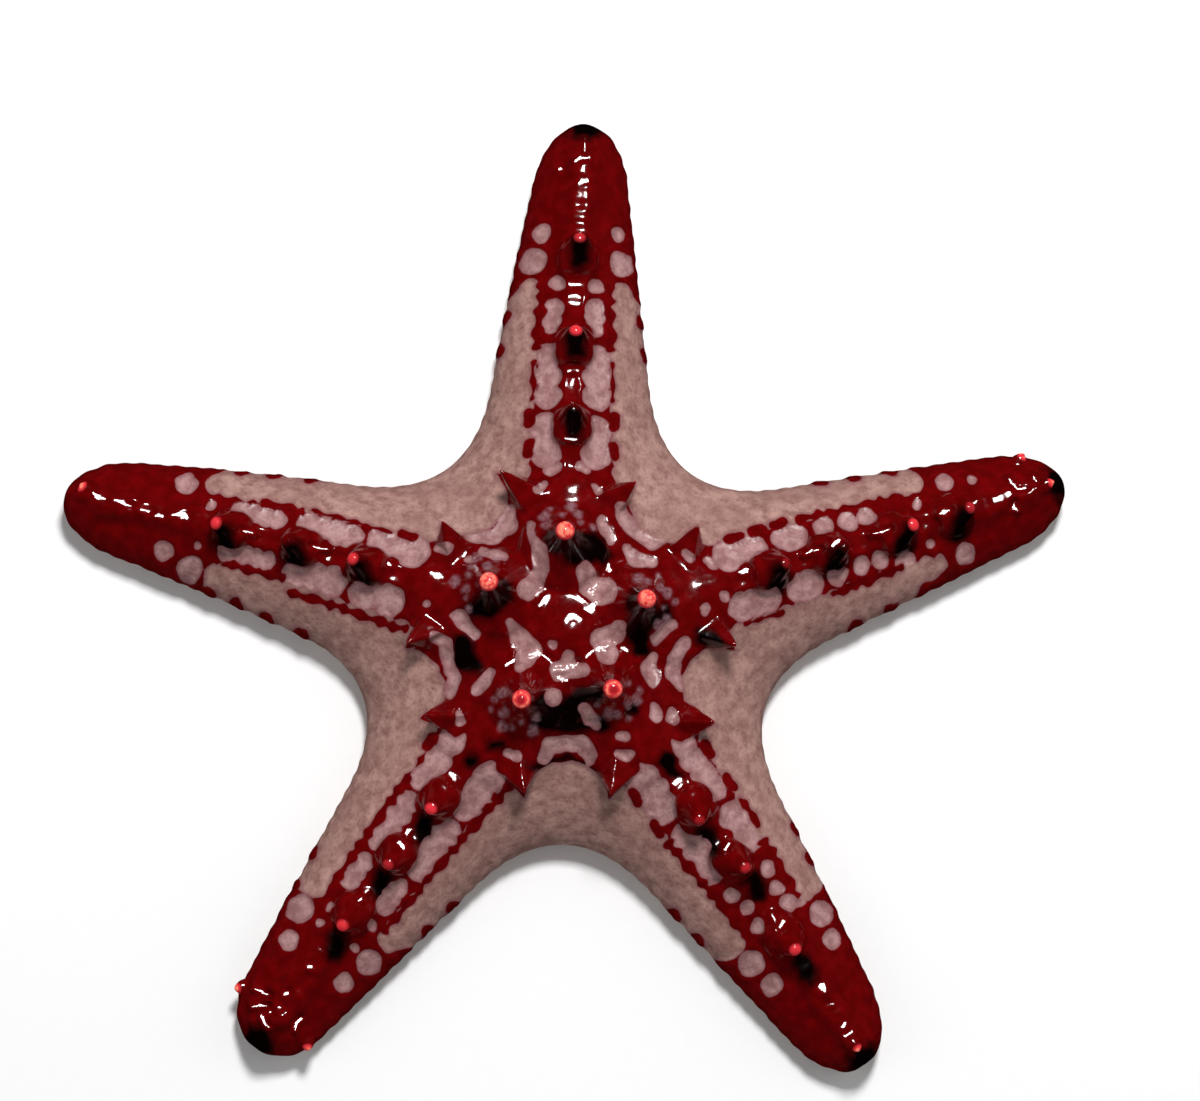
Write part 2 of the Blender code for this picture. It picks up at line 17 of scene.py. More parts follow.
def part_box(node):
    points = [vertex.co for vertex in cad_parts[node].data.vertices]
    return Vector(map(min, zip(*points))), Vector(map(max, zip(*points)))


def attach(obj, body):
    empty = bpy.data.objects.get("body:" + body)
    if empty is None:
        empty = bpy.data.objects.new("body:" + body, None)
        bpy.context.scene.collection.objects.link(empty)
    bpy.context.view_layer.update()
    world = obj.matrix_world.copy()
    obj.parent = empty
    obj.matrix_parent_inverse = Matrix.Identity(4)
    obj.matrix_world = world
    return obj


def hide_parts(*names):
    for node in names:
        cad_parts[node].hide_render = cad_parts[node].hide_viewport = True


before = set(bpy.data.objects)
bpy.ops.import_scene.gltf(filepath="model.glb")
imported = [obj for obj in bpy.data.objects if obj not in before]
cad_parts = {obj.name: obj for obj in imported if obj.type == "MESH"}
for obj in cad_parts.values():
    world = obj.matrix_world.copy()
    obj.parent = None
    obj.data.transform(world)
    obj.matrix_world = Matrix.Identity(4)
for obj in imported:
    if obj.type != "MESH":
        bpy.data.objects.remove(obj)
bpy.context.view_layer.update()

bl_info = {
    "name": "Red knob sea star",
    "version": (1, 0, 0),
    "blender": (4, 5, 0),
    "location": "3D View > Sidebar > Sea star",
    "description": "Builds a life-size red knob sea star and the stage it is shown on",
    "category": "Add Mesh",
}

MM = 0.001
FAR_OUTSIDE = -9.0
BODY = "root"
ARM_NODES = ("arm_1", "arm_2", "arm_3", "arm_4", "arm_5")

# Arms: heading in degrees, sideways bow, reach, length of the rounded tip, the knobs'
# places along the back, how pink the tip of each knob is
Arm = namedtuple("Arm", "heading bow reach tip knobs pink")
ARMS = (
    Arm(87.4, 0.5, 52.4, 6.2, (20.8, 28.8, 38.3), (0.0, 1.0, 0.6)),
    Arm(17.1, 0.2, 52.5, 6.2, (20.8, 27.0, 34.4, 40.4), (0.3, 0.0, 1.0, 0.5)),
    Arm(-55.5, 0.4, 51.6, 6.2, (20.8, 27.2, 36.6), (0.4, 0.5, 1.0)),
    Arm(231.8, -0.4, 50.9, 5.0, (20.6, 27.4, 34.8), (1.0, 0.5, 0.9)),
    Arm(163.2, -1.1, 52.3, 6.2, (21.2, 28.0, 35.2), (0.8, 0.0, 0.9)),
)

# Plan of the body
ROOT_HALF_WIDTH = 12.1
TAPER = 0.157
TIP_BLUNTNESS = 2.3
WEB = 11.8

# Heights of the body
CENTRE_HEIGHT = 14.6
TIP_HEIGHT = 6.0
SLOPE_LENGTH = 50.0
SLOPE_POWER = 1.3
EDGE_HEIGHT = 2.2
EDGE_ROUND = 1.6
CREST_SOFTNESS = 0.3
ARCH_ROUNDNESS = 0.75
RIDGE_RISE = 0.8
RIDGE_HALF_WIDTH = 1.7
RIDGE_START = (8.0, 14.0)
PLATEAU_RISE = 0.7
PLATEAU_HALF_WIDTH = 6.0
PLATEAU_START = (7.0, 9.0)
PLATEAU_END = (15.5, 17.5)

# Furrow and mouth under the body
FURROW_HALF_WIDTH = 1.8
FURROW_ROOF_SHARE = 0.7
FURROW_DEPTH = 2.5
FURROW_WIDTH_SHARE = 0.36
FURROW_START = 5.0
MOUTH_RADIUS = 4.0
MOUTH_DEPTH = 3.2

# Jaws and their spines: how far each end is out from the mouth, aside from a gap's middle, and up
JAW = ((2.75, 0.55, 2.2), (1.75, 0.3, 0.35))
JAW_RADIUS = 0.75
JAW_SPINE = ((1.9, 0.35, 0.75), (0.95, 0.16, 0.22))
JAW_SPINE_STEP = ((0.3, 0.18, 0.0), (0.42, 0.3, 0.0))
JAW_SPINE_RADIUS = 0.2

# Knobs: a ring knob has its turn in degrees, its place out and its lean; a tip knob has its arm
# and its place along and across it; KNOB_ASIDES is by arm and by step along the arm
Knob = namedtuple("Knob", "kind foot tip radius pink core")
RING_KNOBS = ((94.0, 8.6, 1.2), (150.0, 8.4, 1.2), (233.0, 7.6, 1.0), (303.0, 6.3, 0.8), (22.0, 7.0, 0.9))
RING_KNOB_HEIGHT = 6.4
RING_KNOB_RADIUS = 4.2
RED_CORED_KNOBS = (2, 3)
RED_CORE_RADIUS = 0.65
BACK_KNOB_HEIGHT = 2.9
BACK_KNOB_RADIUS = 2.0
BACK_KNOB_LEAN = 1.7
BACK_KNOB_PINK = 0.7
KNOB_ASIDES = {(2, 0): -0.8, (2, 1): 0.5}
TIP_KNOBS = (
    (1, 48.7, 3.4), (1, 50.2, 0.2), (2, 49.0, -0.1), (3, 46.9, -4.4), (3, 47.3, 3.9), (4, 50.0, -0.9),
)
TIP_KNOB_RADIUS = 0.8
TIP_KNOB_HEIGHT = 1.2
ROOT_SINK = 1.2
KNOB_EASING = 14

# Root spines: place along and across an arm, how far the tip is from it, growth by arm and side
SPINE_PLACE = (13.8, 4.5)
SPINE_REACH = (1.5, 1.9)
SPINE_GROWTH = {(0, 1.0): 1.5}
SPINE_HEIGHT = 2.2
SPINE_RADIUS = 2.34
SPINE_ROOT = 0.25
SPINE_PINK = 0.25

# Pink of the tips, and grey speckles: first turn and step in degrees, then a mean and a swing
PINK_REACH = {"ring": (0.8, 1.7), "back": (0.4, 1.2), "tip": (0.35, 1.0), "spine": (0.1, 0.8)}
SPECKLE_COUNT = 9
SPECKLE_TURNS = (-84.0, 21.0)
SPECKLE_REACH = (2.4, 0.6)
SPECKLE_RADIUS = (0.4, 0.16)

# Plates of the underside
UNDER_ROW = 2.3
UNDER_PLATE = 1.9
UNDER_SEAM_DEPTH = 0.13

# Relief of the back
BULGING_ARM = 3
END_BULGE = 0.3
END_LUMPS = 0.16
CREST_FLATTENING = 0.1
SADDLE_DEPTH = 0.5
SADDLE_START = 15.5
BEAD_SPACING = 1.3
PLATE_SPACING = 1.7
PLATE_RISE = 0.04
MOUND_RISE = 0.5
MOUND_WIDTH = 3.4
RED_UNEVENNESS = 0.07
RIM_RISE = 0.05
PORE_DEPTH = 0.012

# Markings of one side of an arm, out from its middle line. A window has a start, an end, and
# its near and far edge; a spot has a place along, a place out and a radius; a line of red has
# a start, an end, its place out at each, and its half width; a blot of red, and a mark on the
# edge, has its place. The outer band ends at band_end and reaches the edge up to edge_from.
Side = namedtuple("Side", "windows spots lines blots edge_marks band_end edge_from")
MARKS = (
    (
        Side(((16.5, 22.2, 1.1, 4.2), (22.5, 29.3, 1.2, 3.9), (30.3, 34.0, 1.2, 3.4)),
             ((35.5, 2.0, 0.8), (37.9, 4.4, 1.4), (40.75, 3.75, 1.0)),
             ((23.7, 27.5, 4.0, 4.0, 0.2), (29.3, 36.5, 3.7, 3.3, 0.5)),
             ((18.6, 4.3), (21.7, 4.3)), (29.0, 32.4), 36.1, 34.5),
        Side(((16.5, 22.0, 0.9, 4.0), (22.5, 29.2, 1.0, 3.9), (30.0, 34.0, 1.0, 3.0)),
             ((35.25, 2.0, 0.75), (38.0, 4.5, 1.3), (41.0, 4.0, 0.8)),
             ((23.7, 27.5, 4.0, 4.0, 0.2), (29.3, 36.5, 3.7, 3.3, 0.5)),
             ((18.6, 4.3), (21.7, 4.3)), (29.0, 32.4), 36.0, 34.5),
    ),
    (
        Side(((15.6, 21.4, 1.1, 4.2), (22.0, 25.7, 1.3, 4.2)),
             ((27.5, 2.6, 1.1), (30.0, 2.4, 1.0), (32.0, 2.4, 1.0), (37.25, 2.1, 0.55),
              (40.75, 3.5, 0.95), (43.5, 2.9, 0.5)),
             ((25.5, 36.0, 4.1, 3.3, 0.45),),
             ((18.6, 4.3), (21.0, 4.3), (23.3, 4.3)), (29.2, 32.5, 36.1), 38.8, 38.5),
        Side(((15.6, 21.2, 1.3, 4.05), (21.8, 25.8, 1.2, 4.0), (33.9, 35.0, 2.1, 4.4)),
             ((27.3, 2.4, 1.1), (29.9, 2.25, 0.9), (31.9, 2.25, 0.9), (37.3, 2.1, 0.5), (40.6, 4.0, 1.1)),
             ((17.0, 21.0, 4.3, 4.3, 0.2), (26.5, 33.5, 4.0, 3.5, 0.45)),
             (), (28.0, 32.0), 38.6, 35.0),
    ),
    (
        Side(((14.0, 21.8, 1.2, 3.95), (22.2, 28.0, 1.2, 4.4), (33.2, 34.8, 2.3, 4.4)),
             ((30.0, 2.45, 0.9), (32.1, 2.2, 0.85), (34.0, 2.4, 0.9), (36.75, 4.55, 1.35),
              (39.45, 4.0, 1.05)),
             ((23.0, 26.0, 4.35, 4.35, 0.35), (28.0, 33.5, 3.7, 3.3, 0.6)),
             ((17.0, 4.35), (20.9, 4.35)), (28.4, 31.8), 35.0, 35.0),
        Side(((14.0, 20.8, 1.05, 4.4), (21.3, 28.3, 0.95, 4.0)),
             ((30.1, 1.95, 0.8), (32.0, 1.5, 0.75), (34.1, 1.65, 0.75), (36.75, 4.05, 1.3),
              (39.7, 3.5, 1.1)),
             ((22.5, 35.0, 4.15, 2.85, 0.45),),
             ((16.8, 4.3), (20.5, 4.3)), (28.4, 31.8), 35.5, 35.0),
    ),
    (
        Side(((14.5, 21.1, 1.1, 4.1), (21.3, 28.5, 1.2, 4.1), (29.0, 33.0, 1.2, 3.2)),
             ((34.4, 2.2, 0.6), (37.25, 2.2, 0.5), (37.5, 4.2, 1.3), (40.6, 3.4, 1.0)),
             ((15.5, 34.0, 4.6, 3.6, 0.4),),
             (), (28.0, 31.5), 35.7, 34.0),
        Side(((14.0, 21.3, 1.1, 3.9), (21.5, 28.5, 1.1, 3.6), (29.0, 33.2, 1.2, 3.1)),
             ((35.5, 2.1, 0.5), (37.3, 2.0, 0.5), (37.4, 4.5, 1.45), (40.5, 3.5, 1.05)),
             ((21.0, 33.5, 3.8, 3.3, 0.4),),
             ((16.7, 4.2),), (32.2, 36.0), 36.0, 37.0),
    ),
    (
        Side(((16.5, 22.2, 1.15, 4.3), (22.5, 29.2, 1.0, 4.0), (30.0, 36.0, 1.3, 3.1)),
             ((37.9, 2.3, 0.35), (38.1, 4.65, 1.35), (41.1, 3.5, 0.95)),
             ((16.0, 28.0, 4.9, 4.5, 0.4), (29.0, 34.7, 3.4, 3.4, 0.4)),
             (), (25.8, 29.5, 32.8, 35.7), 36.5, 37.0),
        Side(((15.5, 22.0, 1.1, 4.5), (22.3, 29.2, 1.2, 3.7), (30.0, 35.7, 1.1, 3.1)),
             ((37.75, 1.9, 0.55), (40.9, 3.6, 1.15)),
             ((20.0, 28.0, 4.0, 4.0, 0.2), (29.0, 33.0, 3.6, 3.6, 0.4)),
             ((18.2, 4.2),), (29.2, 32.8, 36.0), 39.2, 38.0),
    ),
)
LOBE_STEP = 1.3
LOBE_WAIST = 0.72
BAND_EDGE = ((13.0, 4.7), (16.0, 4.2), (25.0, 3.8), (36.0, 3.3))
BAND_START = 14.4
LOBE_LENGTH = 1.7
BLOT_REACH = 0.5
BLOT_RADIUS = 0.55
EDGE_MARK_RADIUS = 0.6
KNOB_RED_RADIUS = 1.85
THORN_RADII = (2.08, 0.08)
# Painted shadow beside each back knob: its drop from the tip, its shift aside by arm, its length and its
# radius
SHADE_DROP = 1.0
SHADE_ASIDE = (0.0, -0.7, 0.8, -0.4, 0.9)
SHADE_LENGTH = 1.2
SHADE_RADIUS = 1.2
BLACK_ENDS = (0, 1, 2, 3)
EDGE_STRIP = 0.9
WEB_ARC_STARTS = (12.6, 13.3, 13.2, 12.4, 11.9)
WEB_ARC_RADIUS = 4.4
WEB_REACH = 24.0

# The flattened picture of the skin
PICTURE_MARGIN = 0.01
UNDER_PICTURE_SHARE = 0.36

# Places read off the photo are in pixels of an enlarged view of a part of it. Each view
# has its left and top edge in pixels of the photo, and its enlargement.
PHOTO_SIZE = (1200.0, 1101.0)
PHOTO_MIDDLE = (567.0, 642.0)
PHOTO_SCALE = 9.83
VIEWS = {
    "disc": (430.0, 440.0, 4.355),
    "top": (480.5, 119.5, 4.498),
    "left": (59.8, 430.1, 3.912),
    "right": (699.6, 430.1, 4.117),
    "bottom left": (220.3, 719.5, 4.475),
    "bottom right": (600.0, 719.5, 4.357),
}

# The photo's camera: its own right and up, its place in millimetres, its lens and its sensor
CAMERA_RIGHT = (0.99902, -0.01263, 0.04237)
CAMERA_UP = (0.00862, 0.99558, 0.09351)
CAMERA_PLACE = (-18.24, -37.30, 498.99)
CAMERA_LENS = 149.1
CAMERA_SENSOR = 36.0

# Rough heights that reading a place needs: on the disc, the height over the plane that the
# photo's scale holds for, how it falls away from the middle, and how far each millimetre of
# it shifts a place; on a crest, the lowest height, the climb to the middle and its curve.
READ_DISC_HEIGHT = 13.5
READ_DISC_FALL = 0.33
READ_DISC_SHIFT = (0.036, 0.075)
READ_CREST = (6.6, 8.6, 1.3)
READ_REACH = 50.0

# Pale markings of the disc: chains of circles, each with a place and a radius read in its view
DISC_MARKS = (
    ((450, 385, 17), (448, 440, 14), (478, 500, 34), (490, 580, 34), (465, 640, 40), (430, 665, 48)),
    ((672, 585, 38), (700, 650, 52), (750, 670, 58)),
    ((358, 800, 20), (395, 860, 42), (440, 905, 50), (420, 950, 42), (398, 985, 25)),
    ((818, 815, 27), (800, 850, 40), (740, 865, 48), (765, 935, 45)),
    ((605, 930, 22), (600, 975, 40), (560, 1000, 42), (665, 998, 32)), ((540, 885, 20),),
    ((533, 1110, 38),), ((662, 1160, 20), (690, 1210, 30), (710, 1235, 20)),
    ((498, 1365, 28), (520, 1320, 35), (580, 1305, 35), (650, 1310, 38), (685, 1350, 32), (690, 1385, 20)),
    ((345, 1345, 22), (370, 1360, 26)), ((805, 1355, 22), (850, 1362, 25)),
    ((805, 1282, 18), (838, 1285, 20)),
    ((355, 320, 32), (350, 380, 42), (300, 425, 36), (235, 435, 30), (180, 425, 18)),
    ((245, 500, 20), (290, 512, 26), (335, 520, 20)), ((185, 530, 22),), ((55, 480, 18), (90, 485, 28)),
    ((830, 315, 24), (850, 370, 36), (900, 420, 34), (960, 455, 36), (1010, 450, 24)),
    ((855, 490, 24), (885, 535, 36), (950, 550, 30)), ((745, 370, 22), (765, 420, 28), (785, 455, 20)),
    ((965, 875, 22), (1005, 840, 28), (1040, 812, 20)), ((965, 945, 22), (935, 985, 32), (955, 1040, 36)),
    ((1090, 890, 30), (1045, 960, 30), (1045, 1020, 36), (1080, 1075, 22)),
    ((958, 1160, 18), (965, 1195, 28)), ((1035, 1180, 22), (1035, 1210, 30)),
    ((135, 770, 30), (165, 805, 32), (210, 845, 24)), ((275, 1005, 18), (245, 1040, 28), (220, 1080, 28)),
    ((40, 860, 30), (85, 880, 28), (95, 960, 28), (120, 1020, 30), (100, 1090, 26)),
    ((135, 1180, 16), (145, 1215, 20)), ((480, 235, 24), (505, 215, 15)),
    ((715, 225, 15), (735, 245, 20)), ((530, 150, 30), (560, 145, 18)), ((660, 140, 22), (690, 155, 20)),
    ((1100, 515, 16), (1120, 535, 24)), ((1190, 540, 20), (1215, 565, 24)),
    ((1260, 690, 18), (1265, 710, 18)), ((1180, 745, 20), (1175, 770, 16)), ((5, 715, 20),),
)

# Small flats of the wet skin that catch the light: chains of points read in each view. The slope
# is that of a flat at the middle, and it grows by FLAT_TURN with each millimetre across and up.
FLATS = {
    "disc": (
        ((430, 935), (480, 925), (520, 955)), ((668, 955), (715, 910), (778, 895)),
        ((545, 1010), (590, 1000), (650, 965)), ((555, 1032), (590, 1050)), ((835, 905), (862, 918)),
        ((330, 980), (370, 963)), ((590, 790), (620, 765), (655, 785)),
        ((672, 735), (695, 742), (722, 705)), ((458, 675), (500, 652)), ((478, 720), (512, 680)),
        ((445, 512), (452, 545)), ((780, 540), (783, 570)),
    ),
    "top": (
        ((425, 185), (445, 175), (480, 175)), ((355, 215), (368, 212)), ((445, 285), (475, 280)),
        ((405, 740), (450, 740)), ((410, 797), (445, 802)), ((408, 822), (442, 827)),
        ((395, 1118), (435, 1118)), ((392, 1132), (438, 1132)), ((378, 1441), (428, 1441)),
    ),
    "left": (
        ((130, 245), (150, 262), (185, 268)), ((210, 272), (240, 285), (280, 297)),
        ((315, 313), (360, 323)), ((375, 335), (410, 337)), ((435, 337), (490, 325), (505, 342)),
        ((715, 395), (760, 405)), ((990, 455), (1025, 465), (1050, 465)), ((1285, 520), (1295, 530)),
        ((1450, 560), (1500, 575)),
    ),
    "right": (
        ((180, 590), (200, 575)), ((432, 513), (460, 497), (492, 495)), ((535, 487), (570, 467)),
        ((708, 432), (740, 425), (780, 410)), ((985, 350), (1025, 332)), ((1210, 290), (1240, 280)),
        ((1270, 268), (1290, 262)), ((1275, 195), (1310, 245), (1345, 235)),
        ((1300, 300), (1290, 318), (1312, 330)), ((1375, 185), (1390, 210)),
    ),
    "bottom left": (
        ((1035, 240), (1052, 270)), ((835, 515), (852, 492)), ((800, 553), (820, 578)),
        ((615, 790), (660, 765)), ((618, 815), (630, 800)), ((440, 1025), (455, 1030)),
        ((390, 1110), (412, 1100)), ((150, 1205), (215, 1230)), ((140, 1288), (180, 1280), (212, 1280)),
        ((228, 1310), (190, 1330)), ((190, 1330), (200, 1360), (218, 1380)), ((285, 1235), (305, 1215)),
        ((335, 1388), (340, 1360), (362, 1335)),
    ),
    "bottom right": (
        ((325, 285), (350, 255)), ((545, 570), (560, 540)), ((745, 850), (765, 885), (795, 880)),
        ((795, 880), (780, 910)), ((960, 1150), (975, 1185)), ((990, 1245), (1015, 1240)),
        ((1065, 1320), (1050, 1340), (1070, 1350)), ((1065, 1380), (1097, 1360)),
    ),
}
FLAT_HALF_WIDTH = 0.14
FLAT_FADE = 0.5
FLAT_SLOPE = (-0.028, -0.21)
FLAT_TURN = 0.0019

# Painted shade in the disc's hollows: nearly black patches, as chains of circles like its markings
DISC_HOLLOW_SHADE = (
    ((540, 465, 40), (620, 495, 70), (700, 485, 60), (750, 520, 35)),
    ((320, 680, 50), (265, 720, 62), (205, 745, 35)), ((155, 880, 40), (165, 950, 50), (220, 985, 30)),
    ((890, 735, 55), (930, 775, 50), (885, 835, 48), (905, 905, 40)), ((1000, 765, 35),),
    ((1170, 865, 38), (1235, 895, 22)),
    ((480, 1140, 35), (510, 1195, 55), (600, 1185, 60), (640, 1115, 40), (700, 1110, 40)),
    ((460, 1225, 25), (600, 1240, 25), (740, 1225, 25)),
    ((450, 1405, 16), (520, 1385, 13), (600, 1362, 13), (670, 1400, 13), (705, 1435, 16)),
    ((1005, 1385, 32), (1040, 1445, 30)), ((185, 1385, 30),), ((865, 1170, 25),),
    ((275, 1310, 20), (320, 1310, 15)),
)

# Lights of the stage, in metres; each looks at the middle of the floor
KEY_PLACE = (0.05, 0.26, 0.5)
KEY_SIZE = 0.1
FILLS = (
    ("fill_left", (-0.55, -0.1, 0.34), 1.0), ("fill_right", (0.55, 0.1, 0.34), 1.0),
    ("fill_near", (0.0, -0.55, 0.3), 0.4),
)
FILL_SIZE = 0.5
FLOOR_HALF_WIDTH = 1.5


def blend(value, low, high):
    """Smooth step from 0 at low to 1 at high."""
    share = np.clip((value - low) / (high - low), 0.0, 1.0)
    return share * share * (3.0 - 2.0 * share)


def disc_chains(readings):
    """Chains of circles in the disc's plan, from readings in its view; radii to two figures."""
    left, top, scale = VIEWS["disc"]
    for reading in readings:
        chain = []
        for across, down, radius in reading:
            x = (left + across / scale - PHOTO_MIDDLE[0]) / PHOTO_SCALE
            y = (PHOTO_MIDDLE[1] - top - down / scale) / PHOTO_SCALE
            height = READ_DISC_HEIGHT - READ_DISC_FALL * math.hypot(x, y)
            x, y = x - READ_DISC_SHIFT[0] * height, y - READ_DISC_SHIFT[1] * height
            chain.append((round(x, 1), round(y, 1), float(f"{radius / scale / PHOTO_SCALE:.2g}")))
        yield chain


def back_place(view, across, down):
    """The plan point of the back that one place of a view shows, by way of the camera."""
    left, top, scale = VIEWS[view]
    back = np.cross(CAMERA_RIGHT, CAMERA_UP)
    up = np.cross(back, CAMERA_RIGHT)
    right, up, back = (axis / np.linalg.norm(axis) for axis in (CAMERA_RIGHT, up, back))
    focal = CAMERA_LENS / CAMERA_SENSOR * PHOTO_SIZE[0]
    side = (left + across / scale - PHOTO_SIZE[0] / 2.0) / focal
    rise = (PHOTO_SIZE[1] / 2.0 - top - down / scale) / focal
    ray = right * side + up * rise - back
    low, climb, curve = READ_CREST
    height = low
    for _ in range(6):
        spot = CAMERA_PLACE + ray * (CAMERA_PLACE[2] - height) / -ray[2]
        share = max(0.002, 1.0 - math.hypot(spot[0], spot[1]) / READ_REACH)
        height = low + climb * share**curve
    return round(spot[0], 1), round(spot[1], 1)


def flat_chains():
    """The chains of points of the small flats, in plan."""
    for view, readings in FLATS.items():
        for reading in readings:
            yield [back_place(view, *spot) for spot in reading]


def plan_axes(turn):
    """Unit vectors in plan at a turn in radians, and to its left."""
    return np.array([math.cos(turn), math.sin(turn)]), np.array([-math.sin(turn), math.cos(turn)])


def arm_axes(arm):
    """Unit vectors along an arm and across it, to its left."""
    return plan_axes(math.radians(arm.heading))


def gap_turns():
    """Turns in radians of the gaps between neighbouring arms."""
    headings = sorted(arm.heading % 360.0 for arm in ARMS)
    following = headings[1:] + [headings[0] + 360.0]
    return [math.radians((one + other) / 2.0) for one, other in zip(headings, following)]


def bell(value, width, power=2):
    """A bell curve: 1 where the value is 0, about a third where it is the width."""
    return np.exp(-((value / width) ** power))


def arm_bow(arm, along):
    """How far an arm's middle line stands to the side of its straight axis."""
    return arm.bow * np.sin(np.pi * np.clip(along, 0.0, arm.reach) / arm.reach)


def arm_place(arm, points):
    """Distance of plan points along an arm, and across it from its middle line."""
    out, left = arm_axes(arm)
    along = points @ out
    return along, points @ left - arm_bow(arm, along)


def on_arm(arm, along, across):
    """Plan point at a distance along an arm and across it from its middle line."""
    out, left = arm_axes(arm)
    return out * along + left * (across + arm_bow(arm, along))


def full_half_width(along):
    """Half width of an arm that doesn't end."""
    return ROOT_HALF_WIDTH - TAPER * along


def half_width(arm, along):
    """Half width of an arm, rounded off at its tip."""
    width = full_half_width(np.maximum(along, 0.0))
    past = np.clip((along - arm.reach + arm.tip) / arm.tip, 0.0, 1.0)
    return width * (1.0 - past**TIP_BLUNTNESS) ** (1.0 / TIP_BLUNTNESS)


def depth_in_arm(arm, points):
    """How far plan points lie inside one arm's outline."""
    along, across = arm_place(arm, points)
    aside = np.where(along < 0.0, np.hypot(along, across), np.abs(across))
    return half_width(arm, along) - aside


def depth_inside(points):
    """How far plan points lie inside the body's outline, with webs between the arms."""
    depths = np.sort([depth_in_arm(arm, points) for arm in ARMS], axis=0)
    first, second = depths[-1], depths[-2]
    overlap = np.maximum(0.0, WEB - (first - second)) / WEB
    return first + overlap * overlap * WEB / 4.0


def nearest_arm(points):
    """Number of the arm that each plan point is on, and its place along and across it."""
    places = np.array([arm_place(arm, points) for arm in ARMS])
    number = places[:, 0].argmax(0)
    along, across = np.take_along_axis(places, number[None, None], 0)[0]
    return number, along, across


def top_height(points):
    """Height of the back over plan points, without its knobs."""
    _, along, across = nearest_arm(points)
    fall = np.maximum(0.0, 1.0 - np.linalg.norm(points, axis=-1) / SLOPE_LENGTH) ** SLOPE_POWER
    crown = TIP_HEIGHT + (CENTRE_HEIGHT - TIP_HEIGHT) * fall - EDGE_HEIGHT
    share = np.clip(depth_inside(points) / full_half_width(along), 0.0, 1.0)
    soft = (np.sqrt((1.0 - share) ** 2 + CREST_SOFTNESS**2) - CREST_SOFTNESS) / (
        math.sqrt(1.0 + CREST_SOFTNESS**2) - CREST_SOFTNESS)
    arch = ARCH_ROUNDNESS * np.sqrt(1.0 - (1.0 - share) ** 2) + (1.0 - ARCH_ROUNDNESS) * (1.0 - soft)
    ridge = RIDGE_RISE * bell(across, RIDGE_HALF_WIDTH, 4)
    ridge = ridge * blend(along, *RIDGE_START) * blend(share, 0.5, 0.9)
    plateau = PLATEAU_RISE * (1.0 - blend(np.abs(across) - PLATEAU_HALF_WIDTH, -1.0, 0.8))
    plateau = plateau * blend(along, *PLATEAU_START) * (1.0 - blend(along, *PLATEAU_END))
    return EDGE_HEIGHT + crown * arch + np.maximum(ridge, plateau)


def furrow_size(arm, along):
    """Half widths of the furrow at the floor and at its roof, and its depth."""
    low = np.minimum(FURROW_HALF_WIDTH, FURROW_WIDTH_SHARE * half_width(arm, along))
    return low, low * FURROW_ROOF_SHARE, FURROW_DEPTH * low / FURROW_HALF_WIDTH


def under_height(points):
    """Height of the underside: flat, rounded up to the edge, with furrows and the mouth."""
    gap = np.clip(EDGE_ROUND - depth_inside(points), 0.0, EDGE_ROUND) / EDGE_ROUND
    height = EDGE_HEIGHT * (1.0 - np.sqrt(1.0 - gap * gap))
    for arm in ARMS:
        along, across = arm_place(arm, points)
        low, roof, depth = furrow_size(arm, along)
        inside = 1.0 - blend(np.abs(across), 0.9 * roof, low + 0.02)
        height = np.maximum(height, depth * inside * (along > 1.0))
    hollow = 1.0 - blend(np.hypot(points[:, 0], points[:, 1]), MOUTH_RADIUS - 0.3, MOUTH_RADIUS + 0.1)
    return np.maximum(height, MOUTH_DEPTH * hollow)


def place_of(point, rise=0.0):
    """Point on the back over one plan point, or above it."""
    point = np.asarray(point, float)
    return np.array([point[0], point[1], top_height(point[None])[0] + rise])


def spine_line(number, side):
    """Plan points of the foot and the tip of a root spine."""
    ahead, aside = SPINE_PLACE
    growth = SPINE_GROWTH.get((number, side), 1.0)
    tip = on_arm(ARMS[number], ahead + growth * SPINE_REACH[0], side * (aside + growth * SPINE_REACH[1]))
    return on_arm(ARMS[number], ahead, side * aside), tip


def all_knobs():
    """Every knob and spine of the back: kind, foot, tip, radius and how pink its tip is."""
    knobs = []
    for number, (turn, reach, lean) in enumerate(RING_KNOBS):
        out, _ = plan_axes(math.radians(turn))
        foot = place_of(out * reach)
        core = RED_CORE_RADIUS if number in RED_CORED_KNOBS else 0.0
        tip = foot + [*(out * lean), RING_KNOB_HEIGHT]
        knobs.append(Knob("ring", foot, tip, RING_KNOB_RADIUS, 1.0, core))
    for number, arm in enumerate(ARMS):
        for side in (1.0, -1.0):
            start, end = spine_line(number, side)
            foot = place_of(start)
            tip = np.array([*end, foot[2] + SPINE_HEIGHT])
            foot = foot - SPINE_ROOT * (tip - foot)
            knobs.append(Knob("spine", foot, tip, SPINE_RADIUS, SPINE_PINK, 0.0))
        for step, (along, pink) in enumerate(zip(arm.knobs, arm.pink)):
            foot = place_of(on_arm(arm, along, 0.0), -0.3)
            ahead = on_arm(arm, along + BACK_KNOB_LEAN, KNOB_ASIDES.get((number, step), 0.0))
            tip = np.array([*ahead, foot[2] + BACK_KNOB_HEIGHT])
            knobs.append(Knob("back", foot, tip, BACK_KNOB_RADIUS, BACK_KNOB_PINK * pink, 0.0))
    for number, along, across in TIP_KNOBS:
        arm = ARMS[number]
        out = on_arm(arm, along, across) - on_arm(arm, along - 4.0, 0.2 * across)
        out = out / np.linalg.norm(out)
        foot = place_of(on_arm(arm, along, across), -0.1)
        lean = np.array([out[0], out[1], 0.6])
        tip = foot + lean / np.linalg.norm(lean) * TIP_KNOB_HEIGHT
        knobs.append(Knob("tip", foot, tip, TIP_KNOB_RADIUS, 1.0, 0.0))
    return knobs


